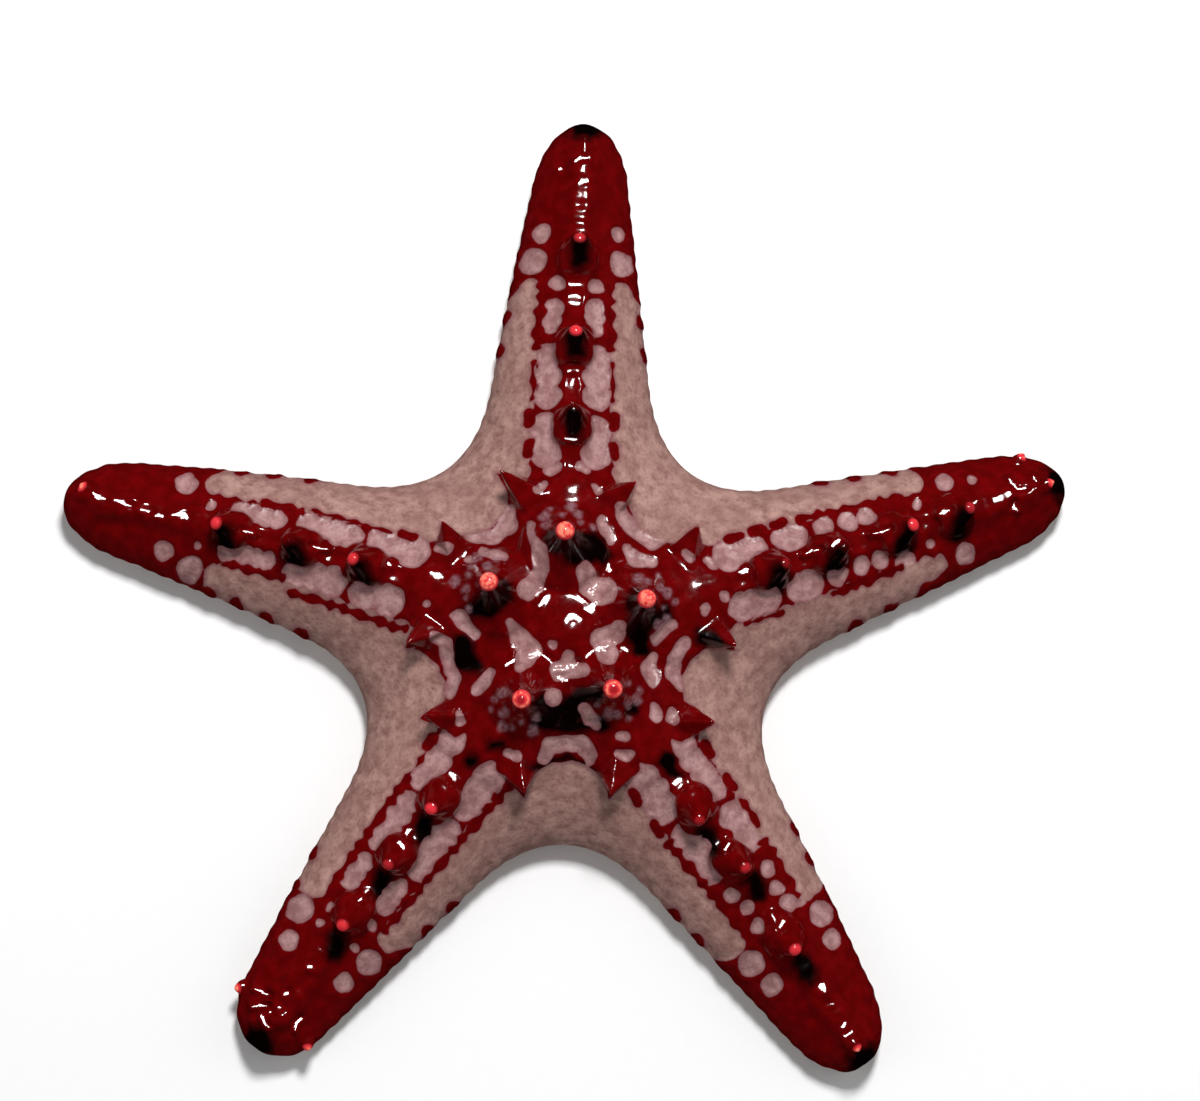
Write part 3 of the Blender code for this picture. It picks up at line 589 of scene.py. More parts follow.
def round_end(rise, start):
    """Share of the width left past a start, where the outline rounds off to nothing."""
    return np.sqrt(1.0 - np.clip((rise - start) / (1.0 - start), 0.0, 1.0) ** 2)


def knob_profile(kind, steps=18):
    """Shares of the radius and of the height of a knob's outline, from its foot to its top."""
    rise = np.linspace(0.0, 1.0, steps)
    if kind == "ring":
        wide = (0.235 + 0.8 * (1.0 - rise) ** 2.4) * round_end(rise, 0.87)
    elif kind == "spine":
        wide = 1.0 - rise
    elif kind == "back":
        wide = (0.4 + 0.62 * (1.0 - rise) ** 1.5) * round_end(rise, 0.68)
    else:
        wide = (1.0 - rise**1.3) ** 0.75
    return wide, rise


def turned(wide, rise, sides, sink):
    """Points and faces of a turned piece, closed below at a depth of sink."""
    wide = np.concatenate([[wide[0]], wide[:-1]])
    height = np.concatenate([[-sink], rise[:-1]])
    turns = np.arange(sides) * math.tau / sides
    rings = np.stack([
        wide[:, None] * np.cos(turns), wide[:, None] * np.sin(turns),
        np.broadcast_to(height[:, None], (len(height), sides)),
    ], -1).reshape(-1, 3)
    points = np.concatenate([rings, [[0.0, 0.0, -sink], [0.0, 0.0, rise[-1]]]])
    faces = []
    for ring in range(len(height) - 1):
        for step in range(sides):
            here, there = ring * sides + step, ring * sides + (step + 1) % sides
            faces.append((here, there, there + sides, here + sides))
    last = (len(height) - 1) * sides
    for step in range(sides):
        after = (step + 1) % sides
        faces.append((after, step, len(rings)))
        faces.append((last + step, last + after, len(rings) + 1))
    return points, faces


def leaning(points, foot, tip):
    """Points of a piece whose own up axis is turned to run from a foot to a tip."""
    turn = Vector((0.0, 0.0, 1.0)).rotation_difference(Vector(tip - foot))
    return points @ np.array(turn.to_matrix()).T + foot


class Heap:
    """Points and faces of many small pieces, gathered into one mesh."""

    def __init__(self):
        self.points = []
        self.faces = []
        self.count = 0

    def add(self, points, faces):
        """Adds one piece."""
        self.points.append(np.asarray(points, float))
        self.faces.extend([tuple(corner + self.count for corner in face) for face in faces])
        self.count += len(points)

    def mesh(self, name):
        """A mesh of all that was added, in millimetres."""
        data = bpy.data.meshes.new(name)
        data.from_pydata(np.concatenate(self.points).tolist(), [], self.faces)
        data.update()
        return data


def add_turned(heap, profile, radius, sides, sink, foot, tip):
    """Adds one turned piece that runs from a foot to a tip."""
    wide, rise = profile
    points, faces = turned(wide * radius, rise * np.linalg.norm(tip - foot), sides, sink)
    heap.add(leaning(points, foot, tip), faces)


def disc_centre():
    """Middle of the mouth, which is the middle of the disc, in metres."""
    low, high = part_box("mouth")
    return Vector(((low.x + high.x) / 2.0, (low.y + high.y) / 2.0, 0.0))


def finish_piece(name, data, material, nodes=()):
    """Puts a finished mesh in millimetres into the scene, in metres, on the body."""
    data.transform(Matrix.Translation(disc_centre()) @ Matrix.Scale(MM, 4))
    data.materials.append(material)
    data.polygons.foreach_set("use_smooth", [True] * len(data.polygons))
    data.update()
    piece = bpy.data.objects.new(name, data)
    bpy.context.scene.collection.objects.link(piece)
    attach(piece, BODY)
    if nodes:
        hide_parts(*nodes)
    return piece


def outline_turns(count):
    """Turns round the centre of points spaced evenly along the outline, with the reach to each."""
    turns = np.linspace(0.0, math.tau, 7201)
    points = reach_to_edge(turns)[:, None] * np.stack([np.cos(turns), np.sin(turns)], 1)
    run = np.concatenate([[0.0], np.cumsum(np.linalg.norm(np.diff(points, axis=0), axis=1))])
    even = np.interp(np.arange(count) * run[-1] / count, run, turns)
    return even, reach_to_edge(even)


def reach_to_edge(turns):
    """Distance from the centre to the outline at each turn."""
    heading = np.stack([np.cos(turns), np.sin(turns)], 1)
    near, far = np.full(len(turns), 5.0), np.full(len(turns), 60.0)
    for _ in range(30):
        middle = (near + far) / 2.0
        inside = depth_inside(heading * middle[:, None]) > 0.0
        near, far = np.where(inside, middle, near), np.where(inside, far, middle)
    return near


def body_shell(spokes=1400, rings=170):
    """The body without its knobs, as a fine closed surface: points and faces."""
    turns, reach = outline_turns(spokes)
    heading = np.stack([np.cos(turns), np.sin(turns)], 1)
    shares = 1.0 - (1.0 - np.linspace(0.0, 1.0, rings + 1)[1:]) ** 1.3
    plan = (shares[:, None, None] * reach[None, :, None] * heading[None]).reshape(-1, 2)
    back = np.concatenate([plan, top_height(plan)[:, None]], 1)
    inner = plan[:-spokes]
    below = np.concatenate([inner, under_height(inner)[:, None]], 1)
    middle = np.zeros((1, 2))
    ends = [[0.0, 0.0, top_height(middle)[0]], [0.0, 0.0, under_height(middle)[0]]]
    points = np.concatenate([back, below, ends])
    step = np.arange(spokes)
    after = (step + 1) % spokes
    quads = []
    for ring in range(rings - 1):
        here, there = ring * spokes, (ring + 1) * spokes
        quads.append(np.stack([here + step, there + step, there + after, here + after], 1))
        low, high = len(back) + here, len(back) + there
        if ring == rings - 2:
            high = there
        quads.append(np.stack([low + after, high + after, high + step, low + step], 1))
    faces = np.concatenate(quads).tolist()
    top, bottom = len(points) - 2, len(points) - 1
    for one, other in zip(step.tolist(), after.tolist()):
        faces.append((top, one, other))
        faces.append((bottom, len(back) + other, len(back) + one))
    return points, faces


def fused_mesh(data, grain):
    """The mesh fused into one even skin of a given grain, a little smoothed."""
    thing = bpy.data.objects.new("fusing", data)
    bpy.context.scene.collection.objects.link(thing)
    fusing = thing.modifiers.new("fuse", "REMESH")
    fusing.mode = "VOXEL"
    fusing.voxel_size = grain
    easing = thing.modifiers.new("ease", "SMOOTH")
    easing.factor = 0.5
    easing.iterations = 5
    bpy.context.view_layer.update()
    seen = thing.evaluated_get(bpy.context.evaluated_depsgraph_get())
    fused = bpy.data.meshes.new_from_object(seen)
    bpy.data.objects.remove(thing)
    bpy.data.meshes.remove(data)
    return fused


def read_vectors(data, name, count):
    """Coordinates or normals of a mesh's points as an array."""
    values = np.empty(count * 3)
    source = data.vertices if name == "co" else data.vertex_normals
    source.foreach_get("co" if name == "co" else "vector", values)
    return values.reshape(-1, 3)


def eased(data, places, share, rounds):
    """Places moved by a share of the way to the mean of their neighbours, round after round."""
    count = len(places)
    ends = np.empty(len(data.edges) * 2, dtype=np.int64)
    data.edges.foreach_get("vertices", ends)
    ends = ends.reshape(-1, 2)
    ends = ends[(share[ends] > 0.0).any(axis=1)]
    one, other = ends[:, 0], ends[:, 1]
    ties = np.maximum(1, np.bincount(one, minlength=count) + np.bincount(other, minlength=count))
    for _ in range(rounds):
        for axis in range(3):
            line = places[:, axis]
            total = np.bincount(one, line[other], count) + np.bincount(other, line[one], count)
            places[:, axis] = line + share * (total / ties - line)
    return places


def circle_depth(points, middle, radius):
    """How far points lie inside a circle."""
    return radius - np.hypot(points[:, 0] - middle[0], points[:, 1] - middle[1])


def chain_depth(points, chain):
    """How far points lie inside a chain of circles, each an x, a y and a radius, run together."""
    depth = np.full(len(points), FAR_OUTSIDE)
    for start, end in zip(chain, chain[1:] or chain):
        run = np.subtract(end[:2], start[:2])
        share = np.clip(((points - start[:2]) @ run) / max(run @ run, 1e-9), 0.0, 1.0)
        away = np.linalg.norm(points - start[:2] - share[:, None] * run, axis=1)
        depth = np.maximum(depth, start[2] + share * (end[2] - start[2]) - away)
    return depth


def bar_depth(points, start, end, radius):
    """How far points lie inside a bar with round ends."""
    return chain_depth(points, ((*start, radius), (*end, radius)))


def rounded(first, second, radius):
    """Depth inside two overlapping forms, with the corner between them rounded."""
    corner = np.hypot(np.maximum(0.0, radius - first), np.maximum(0.0, radius - second))
    return np.minimum(np.minimum(first, second), radius - corner)


def window_depth(places, window):
    """How far places on an arm lie inside one window, whose long edges are lobed."""
    start, end, near, far = window
    middle, radius = (near + far) / 2.0, (far - near) / 2.0
    first, last = start + min(radius, (end - start) / 2.0), end - min(radius, (end - start) / 2.0)
    stops = np.linspace(first, last, max(1, round((last - first) / (LOBE_STEP * radius))) + 1)
    depth = bar_depth(places, (first, middle), (last, middle), LOBE_WAIST * radius)
    for stop in stops:
        depth = np.maximum(depth, circle_depth(places, (stop, middle), radius))
    return depth


def side_depth(places, edge_depth, side):
    """How far places on one side of an arm lie inside its pale markings; below 0 they are red.

    Also gives the depth inside the outer band alone.
    """
    along, out = places[:, 0], places[:, 1]
    depth = np.full(len(places), FAR_OUTSIDE)
    for window in side.windows:
        depth = np.maximum(depth, window_depth(places, window))
    edge = np.interp(along, *zip(*BAND_EDGE)) + 0.15 - 0.3 * np.abs(np.sin(math.pi * along / LOBE_LENGTH))
    band = rounded(out - edge, side.band_end - along, 1.3)
    strip = edge_depth + 0.6 - (0.6 + EDGE_STRIP) * blend(along, side.edge_from - 1.5, side.edge_from + 1.0)
    band = np.minimum(rounded(band, strip, 0.9), along - BAND_START)
    for mark in side.edge_marks:
        band = np.minimum(band, np.hypot((along - mark) * 0.7, edge_depth * 0.9) - EDGE_MARK_RADIUS)
    depth = np.maximum(depth, band)
    for start, end, near, far, half in side.lines:
        ragged = 0.4 * half * np.cos(math.tau * along / LOBE_LENGTH + 1.2 * np.sin(1.1 * along))
        depth = np.minimum(depth, -ragged - bar_depth(places, (start, near), (end, far), half))
    for mark, away in side.blots:
        ends = (mark - BLOT_REACH, away), (mark + BLOT_REACH, away)
        depth = np.minimum(depth, -bar_depth(places, *ends, BLOT_RADIUS))
    for spot in side.spots:
        depth = np.maximum(depth, circle_depth(places, spot[:2], spot[2]))
    return depth, band


def web_depth(points):
    """How far plan points lie inside the pale webs, outside the arcs between the root spines."""
    depth = np.full(len(points), FAR_OUTSIDE)
    for turn, start in zip(gap_turns(), WEB_ARC_STARTS):
        out, _ = plan_axes(turn)
        web = bar_depth(points, out * (start + WEB_ARC_RADIUS), out * WEB_REACH, WEB_ARC_RADIUS)
        depth = np.maximum(depth, web)
    return depth


def wander(points, size, seed):
    """A smooth wandering value from -1 to 1 over plan points, with features of a given size."""
    total = np.zeros(len(points))
    for step in range(4):
        out, left = plan_axes(1.7 * step + seed)
        bend = 1.3 * np.sin(points @ left / size * 3.1 + seed)
        total += np.sin(math.tau * (points @ out) / size * (0.8 + 0.17 * step) + bend)
    return total / 4.0


def strayed(points, amount, size, seeds):
    """Plan points moved about smoothly, each way by up to an amount."""
    return points + amount * np.stack([wander(points, size, seed) for seed in seeds], 1)


def pale_depths(points, knobs):
    """How far plan points of the back lie inside the pale markings, and inside the outer bands."""
    shifted = strayed(points, 0.16, 2.3, (0.4, 2.9))
    number, along, across = nearest_arm(shifted)
    edge_depth = depth_inside(shifted)
    pale, band = np.full((2, len(points)), FAR_OUTSIDE)
    for index, sides in enumerate(MARKS):
        for side, sign in zip(sides, (1.0, -1.0)):
            chosen = (number == index) & (across * sign >= 0.0) & (along > 11.0)
            places = np.stack([along[chosen], np.abs(across[chosen])], 1)
            pale[chosen], band[chosen] = side_depth(places, edge_depth[chosen], side)
    web = np.minimum(web_depth(shifted), 30.0 - np.linalg.norm(shifted, axis=1))
    web = np.where(along > 17.5, FAR_OUTSIDE, web)
    pale, band = np.maximum(pale, web), np.maximum(band, web)
    for index in range(len(ARMS)):
        for sign in (1.0, -1.0):
            foot, tip = spine_line(index, sign)
            root = foot - 0.35 * (tip - foot)
            thorn = chain_depth(shifted, ((*root, THORN_RADII[0]), (*tip, THORN_RADII[1])))
            pale, band = np.minimum(pale, -thorn), np.minimum(band, -thorn)
    for knob in knobs:
        if knob.kind == "back":
            lean = (knob.tip - knob.foot)[:2]
            ends = knob.foot[:2] - 0.3 * lean, knob.tip[:2] - 0.4 * lean
            pale = np.minimum(pale, -bar_depth(shifted, *ends, KNOB_RED_RADIUS))
    for chain in disc_chains(DISC_MARKS):
        pale = np.maximum(pale, chain_depth(shifted, chain))
    return pale, band


def shade_of(places, knobs):
    """How nearly black the red is, from 0 to 1: painted shadow beside the back knobs, painted shade in the
    disc's hollows beside the ring knobs, and darkening at the arms' ends.
    """
    shade = np.zeros(len(places))
    points = strayed(places[:, :2], 0.3, 1.9, (1.4, 4.9))
    # Painted shadow: a nearly black bar beside each back knob's tip, on the side away from the light
    for knob in knobs:
        if knob.kind == "back":
            aside = SHADE_ASIDE[nearest_arm(knob.foot[None, :2])[0][0]]
            start = knob.tip[:2] + [aside, -SHADE_DROP]
            depth = bar_depth(points, start, start + [0.5 * aside, -SHADE_LENGTH], SHADE_RADIUS)
            shade = np.maximum(shade, 0.95 * blend(depth, -0.6, 0.8))
    # Painted shade: the disc's hollows go nearly black
    for chain in disc_chains(DISC_HOLLOW_SHADE):
        shade = np.maximum(shade, blend(chain_depth(points, chain), -0.7, 0.5))
    for number in BLACK_ENDS:
        arm = ARMS[number]
        along, across = arm_place(arm, points)
        end = np.hypot((along - arm.reach + 0.5) / 1.8, across / 2.3) + 0.2 * wander(points, 1.6, 2.2)
        dark = (1.0 - blend(end, 0.45, 1.25)) * (0.25 + 0.75 * blend(places[:, 2], 1.0, 5.0))
        shade = np.maximum(shade, dark * (along > 40.0))
    return shade


def pink_of(places, knobs):
    """How pink each point is, from 0 to 1: the tips of the knobs."""
    pink = np.zeros(len(places))
    for knob in knobs:
        away = np.linalg.norm(places - knob.tip, axis=1)
        ring = 1.0 if knob.core == 0.0 else 0.3 + 0.7 * blend(away, 0.6 * knob.core, 1.2 * knob.core)
        pink = np.maximum(pink, knob.pink * ring * (1.0 - blend(away, *PINK_REACH[knob.kind])))
    return pink


def speckle_of(places, knobs):
    """Where grey speckles show: the outer slope of each ring knob."""
    speckle = np.zeros(len(places))
    points = strayed(places[:, :2], 0.14, 1.1, (0.9, 3.7))
    for knob in knobs:
        if knob.kind != "ring":
            continue
        facing = math.atan2(knob.foot[1], knob.foot[0])
        for step in range(SPECKLE_COUNT):
            out, _ = plan_axes(facing + math.radians(SPECKLE_TURNS[0] + SPECKLE_TURNS[1] * step))
            reach = SPECKLE_REACH[0] + SPECKLE_REACH[1] * math.sin(2.3 * step + facing)
            radius = SPECKLE_RADIUS[0] + SPECKLE_RADIUS[1] * math.sin(1.7 * step + 2.0 * facing)
            depth = circle_depth(points, knob.tip[:2] + reach * out, radius)
            speckle = np.maximum(speckle, blend(depth, -0.2, 0.25))
    return speckle


def relief_of(points, pale, band, size):
    """How far the back stands out from its smooth form, in millimetres."""
    number, along, across = nearest_arm(points)
    sunk = -size.window_depth / MM * blend(np.where(band > 0.0, FAR_OUTSIDE, pale), -0.3, 0.55)
    sunk_band = -0.6 * size.window_depth / MM * blend(band, -0.3, 0.55)
    bead = np.cos(math.tau * along / BEAD_SPACING) * bell(across, 0.85, 4) * blend(along, 10.0, 13.0)
    bead = bead * np.clip(0.55 + 1.1 * wander(points, 7.0, 2.1), 0.0, 1.3) * blend(along, 34.0, 39.0)
    crest = CREST_FLATTENING * across**2 * bell(across, 1.3) * blend(along, 10.0, 13.0)
    for index, arm in enumerate(ARMS):
        first, last = arm.knobs[0], arm.knobs[-1]
        spacing = (last - first) / (len(arm.knobs) - 1)
        saddle = np.cos(math.tau * (along - first) / spacing) * bell(across, 1.6)
        between = blend(along, SADDLE_START - 1.5, SADDLE_START + 1.5)
        between = between * (1.0 - blend(along, last, last + 3.0)) * (number == index)
        crest = crest + SADDLE_DEPTH * saddle * between
    edge = depth_inside(points)
    plates = np.cos(math.tau * along / PLATE_SPACING) * (1.0 - blend(edge, 0.3, 1.6))
    plates = plates * blend(along, 17.0, 22.0)
    mound = MOUND_RISE * bell(np.linalg.norm(points, axis=1), MOUND_WIDTH)
    mound = mound + RED_UNEVENNESS * wander(points, 3.1, 5.1) * (1.0 - blend(pale, -0.4, 0.3))
    rough_end = np.where(number == BULGING_ARM, END_BULGE, END_LUMPS)
    lumps = rough_end * wander(points, 3.2, 3.3) * blend(along, 40.0, 43.0) * blend(edge, 0.8, 2.5)
    rim = bell(pale + 0.35, 0.3) * (pale > -1.2)
    pores = wander(points, 0.9, 1.1) * blend(pale, 0.0, 0.5)
    return (np.minimum(sunk, sunk_band) + size.bead_height / MM * bead + PLATE_RISE * plates
            + RIM_RISE * rim + PORE_DEPTH * pores + mound + lumps + crest)


def flattened(places, on_back):
    """Places with the small flats of the wet skin worked in; each tilts a little to the far side."""
    plan = places[:, :2].copy()
    height = places[:, 2].copy()
    for chain in flat_chains():
        near = on_back & (np.linalg.norm(plan - np.mean(chain, axis=0), axis=1) < 4.0)
        away = -chain_depth(plan[near], [(*spot, 0.0) for spot in chain])
        share = 1.0 - blend(away, FLAT_HALF_WIDTH, FLAT_HALF_WIDTH + FLAT_FADE)
        middle = np.average(plan[near], axis=0, weights=share)
        level = np.average(height[near], weights=share)
        level = level + (plan[near] - middle) @ (FLAT_SLOPE + FLAT_TURN * middle)
        height[near] += share * (level - height[near])
    return np.concatenate([plan, height[:, None]], 1)


def under_seams(points):
    """How near plan points of the underside lie to a seam between two plates, from 0 to 1."""
    points = strayed(points, 0.18, 3.7, (0.2, 2.6))
    _, along, across = nearest_arm(points)
    rows = (np.abs(across) - FURROW_HALF_WIDTH) / UNDER_ROW
    plates = along / UNDER_PLATE + 0.5 * (np.floor(rows) % 2.0)
    beside = np.abs(rows - np.round(rows)) * UNDER_ROW
    ahead = np.abs(plates - np.round(plates)) * UNDER_PLATE
    return 1.0 - blend(np.minimum(beside, ahead), 0.0, 0.5)


def below_of(places):
    """How fully the colour of the underside has taken over near the edge, from 0 to 1."""
    _, along, _ = nearest_arm(places[:, :2])
    limit = 0.8 + 0.16 * np.cos(math.tau * along / 1.9) + 0.35 * wander(places[:, :2], 2.6, 0.7)
    near_edge = 1.0 - blend(depth_inside(places[:, :2]), 1.0, 1.6)
    return 1.0 - near_edge * blend(places[:, 2], limit - 0.25, limit + 0.25)


def write_values(data, name, values):
    """Writes one number for each point of a mesh, for its material to read."""
    layer = data.attributes.new(name, "FLOAT", "POINT")
    layer.data.foreach_set("value", values.astype(np.float32))


def lay_out_picture(data, places, under):
    """Flattens the skin for a texture: the back large, the underside small in a free corner."""
    low, high = places[:, :2].min(0), places[:, :2].max(0)
    span = (high - low).max()
    flat = (places[:, :2] - low) / span * (1.0 - 2.0 * PICTURE_MARGIN) + PICTURE_MARGIN
    small = flat * UNDER_PICTURE_SHARE + (1.0 - UNDER_PICTURE_SHARE)
    corners = np.empty(len(data.loops), dtype=np.int64)
    data.loops.foreach_get("vertex_index", corners)
    starts = np.empty(len(data.polygons), dtype=np.int64)
    totals = np.empty(len(data.polygons), dtype=np.int64)
    data.polygons.foreach_get("loop_start", starts)
    data.polygons.foreach_get("loop_total", totals)
    owner = np.repeat(np.arange(len(starts)), totals)
    lowered = np.bincount(owner, weights=under[corners]) / totals > 0.5
    values = np.where(lowered[owner][:, None], small[corners], flat[corners])
    layer = data.uv_layers.new(name="OFBake")
    layer.data.foreach_set("uv", values.astype(np.float32).ravel())


def dress_skin(data, knobs, size):
    """Gives the fused skin its relief, and the values that its material reads."""
    count = len(data.vertices)
    places = read_vectors(data, "co", count)
    share = np.zeros(count)
    for knob in knobs:
        if knob.kind in ("ring", "back"):
            away = np.linalg.norm(places[:, :2] - knob.foot[:2], axis=1)
            share = np.maximum(share, 1.0 - blend(away, 1.1 * knob.radius, 1.6 * knob.radius))
    places = eased(data, places, 0.5 * share * (places[:, 2] > EDGE_HEIGHT), KNOB_EASING)
    data.vertices.foreach_set("co", places.ravel())
    data.update()
    normals = read_vectors(data, "normal", count)
    plan = places[:, :2]
    back = top_height(plan)
    middle = (back + under_height(plan)) / 2.0
    under = np.where(depth_inside(plan) > 0.05, places[:, 2] < middle, places[:, 2] < EDGE_HEIGHT)
    under = under.astype(float)
    pale, band = pale_depths(plan, knobs)
    inward = under * blend(depth_inside(plan), 0.0, 1.2)
    seams = under_seams(plan)
    relief = relief_of(plan, pale, band, size) * (1.0 - inward) + -UNDER_SEAM_DEPTH * seams * inward
    relief = relief * (1.0 - blend(places[:, 2] - back, 0.4, 1.2) * (1.0 - under))
    shaped = flattened(places + normals * relief[:, None], under == 0.0)
    data.vertices.foreach_set("co", shaped.ravel())
    write_values(data, "pale", pale)
    write_values(data, "band", band)
    # Painted shade on the back; on the underside the same values are the dark seams between the plates
    write_values(data, "shade", shade_of(places, knobs) * (1.0 - inward) + seams * inward)
    write_values(data, "pink", pink_of(places, knobs))
    write_values(data, "speckle", speckle_of(places, knobs))
    write_values(data, "under", under * below_of(places))
    write_values(data, "wet", 1.0 - blend(np.linalg.norm(plan, axis=1), 6.0, 8.5))
    lay_out_picture(data, places, under)


class Graph:
    """The nodes of one material, with its shader and coordinates in millimetres to start from."""

    def __init__(self, name):
        self.material = bpy.data.materials.new(name)
        self.material.use_nodes = True
        self.tree = self.material.node_tree
        self.shader = self.tree.nodes["Principled BSDF"]
        self.set("Metallic", 0.0)
        coords = self.tree.nodes.new("ShaderNodeTexCoord")
        scale = self.tree.nodes.new("ShaderNodeVectorMath")
        scale.operation = "SCALE"
        scale.inputs["Scale"].default_value = 1.0 / MM
        self.tree.links.new(coords.outputs["Object"], scale.inputs[0])
        self.vector = scale.outputs["Vector"]

    def set(self, name, value):
        """Sets one of the shader's own inputs."""
        self.shader.inputs[name].default_value = value

    def drive(self, name, value):
        """Lets an output drive one of the shader's inputs."""
        self.tree.links.new(value, self.shader.inputs[name])

    def feed(self, socket, value):
        """Gives a socket an output, a number or a colour."""
        if isinstance(value, bpy.types.NodeSocket):
            self.tree.links.new(value, socket)
        elif isinstance(value, float):
            socket.default_value = value
        else:
            socket.default_value = (*value[:3], 1.0)

    def carried(self, name):
        """The number that the mesh carries under a name."""
        node = self.tree.nodes.new("ShaderNodeAttribute")
        node.attribute_name = name
        return node.outputs["Fac"]

    def noise(self, per_mm, detail=3.0):
        """Noise with so many features in a millimetre."""
        node = self.tree.nodes.new("ShaderNodeTexNoise")
        node.inputs["Scale"].default_value = per_mm
        node.inputs["Detail"].default_value = detail
        self.feed(node.inputs["Vector"], self.vector)
        return node.outputs["Fac"]

    def cells(self, per_mm, feature="F1"):
        """Distance to the middle or edge of the nearest grain, with so many grains in a millimetre."""
        node = self.tree.nodes.new("ShaderNodeTexVoronoi")
        node.feature = feature
        node.inputs["Scale"].default_value = per_mm
        self.feed(node.inputs["Vector"], self.vector)
        return node.outputs["Distance"]

    def ranged(self, value, low, high, start=0.0, end=1.0, smooth=False):
        """A value carried from one range to another, and held inside it."""
        node = self.tree.nodes.new("ShaderNodeMapRange")
        node.interpolation_type = "SMOOTHSTEP" if smooth else "LINEAR"
        for name, number in zip(("From Min", "From Max", "To Min", "To Max"), (low, high, start, end)):
            node.inputs[name].default_value = number
        self.feed(node.inputs["Value"], value)
        return node.outputs["Result"]

    def sum(self, first, second, operation="ADD"):
        """Two numbers joined by one step of arithmetic."""
        node = self.tree.nodes.new("ShaderNodeMath")
        node.operation = operation
        self.feed(node.inputs[0], first)
        self.feed(node.inputs[1], second)
        return node.outputs["Value"]

    def product(self, first, second):
        """Two numbers multiplied."""
        return self.sum(first, second, "MULTIPLY")

    def mixed(self, share, first, second):
        """Two colours mixed by a share."""
        node = self.tree.nodes.new("ShaderNodeMix")
        node.data_type = "RGBA"
        self.feed(node.inputs[0], share)
        self.feed(node.inputs[6], first)
        self.feed(node.inputs[7], second)
        return node.outputs[2]

    def bump(self, height, distance):
        """Gives the shader fine relief from a height, as deep as a distance in millimetres."""
        node = self.tree.nodes.new("ShaderNodeBump")
        node.inputs["Distance"].default_value = distance * MM
        self.feed(node.inputs["Height"], height)
        self.drive("Normal", node.outputs["Normal"])


def skin_material(colours):
    """Wet red skin with pale windows and bands, nearly black painted shade, pink knob tips and a pale
    underside.
    """
    graph = Graph("sea_star_skin")
    wobble = graph.product(graph.sum(graph.noise(1.3, 2.0), -0.5), 0.2)
    pale = graph.sum(graph.carried("pale"), wobble)
    is_pale = graph.ranged(pale, -0.07, 0.07, smooth=True)
    is_band = graph.ranged(graph.carried("band"), -0.1, 0.3, smooth=True)
    fine = graph.noise(2.6, 4.0)
    blotch = graph.noise(0.85, 3.0)
    broad = graph.noise(0.35, 2.0)
    grain = graph.cells(2.4)
    red = graph.mixed(graph.ranged(blotch, 0.4, 0.75), colours.red, colours.bright_red)
    shade = graph.carried("shade")
    # Painted shade: the red goes nearly black where the shade values are high
    red = graph.mixed(graph.ranged(shade, 0.05, 0.95), red, colours.dark)
    window = graph.mixed(graph.ranged(blotch, 0.36, 0.62), colours.window, colours.window_light)
    web = graph.mixed(graph.ranged(blotch, 0.36, 0.62), colours.band, colours.band_light)
    web = graph.mixed(graph.ranged(fine, 0.42, 0.6, 0.0, 0.35), web, colours.band_light)
    web = graph.mixed(graph.ranged(broad, 0.35, 0.7, 0.0, 0.5), web, colours.band)
    soft = graph.mixed(is_band, window, web)
    soft = graph.mixed(graph.ranged(grain, 0.2, 0.55, 0.3, 0.0), soft, colours.pale_edge)
    soft = graph.mixed(graph.ranged(pale, 0.02, 0.4, 0.75, 0.0), soft, colours.pale_edge)
    colour = graph.mixed(is_pale, red, soft)
    spot = graph.product(graph.ranged(fine, 0.34, 0.6, 0.25, 0.8), graph.carried("speckle"))
    colour = graph.mixed(spot, colour, colours.speckle)
    tip = graph.carried("pink")
    tip_mottle = graph.product(graph.ranged(fine, 0.38, 0.6), graph.ranged(tip, 0.75, 0.95))
    pink = graph.mixed(tip_mottle, colours.pink, colours.pink_light)
    colour = graph.mixed(graph.ranged(tip, 0.12, 0.6), colour, pink)
    under = graph.mixed(graph.ranged(fine, 0.4, 0.65), colours.under, colours.under_light)
    under = graph.mixed(graph.ranged(grain, 0.2, 0.6, 0.0, 0.5), under, colours.under_line)
    # On the underside the same values are the dark seams between plates, not shade
    under = graph.mixed(graph.product(shade, 0.7), under, colours.under_line)
    is_under = graph.carried("under")
    colour = graph.mixed(is_under, colour, under)
    graph.drive("Base Color", colour)
    pale_rough = graph.ranged(graph.carried("wet"), 0.0, 1.0, 0.27, 0.05)
    rough = graph.sum(graph.ranged(fine, 0.3, 0.7, 0.08, 0.16), graph.product(is_pale, pale_rough))
    rough = graph.sum(rough, graph.product(is_under, 0.22))
    rough = graph.sum(rough, graph.ranged(shade, 0.3, 1.0, 0.0, 0.07))
    graph.drive("Roughness", rough)
    graph.set("Specular IOR Level", 0.4)
    height = graph.sum(graph.ranged(grain, 0.0, 0.6, 1.0, 0.0), graph.product(fine, 0.8))
    height = graph.product(height, graph.ranged(is_pale, 0.0, 1.0, 0.04, 0.36))
    graph.bump(height, 0.07)
    return graph.material


def sieve_material(colours):
    """Pale chalky plate with darker winding grooves."""
    graph = Graph("sieve_plate")
    groove = graph.ranged(graph.cells(4.5, "DISTANCE_TO_EDGE"), 0.02, 0.16)
    colour = graph.mixed(groove, colours.band, colours.window_light)
    graph.drive("Base Color", colour)
    graph.drive("Roughness", graph.ranged(groove, 0.0, 1.0, 0.6, 0.42))
    graph.bump(groove, 0.08)
    return graph.material


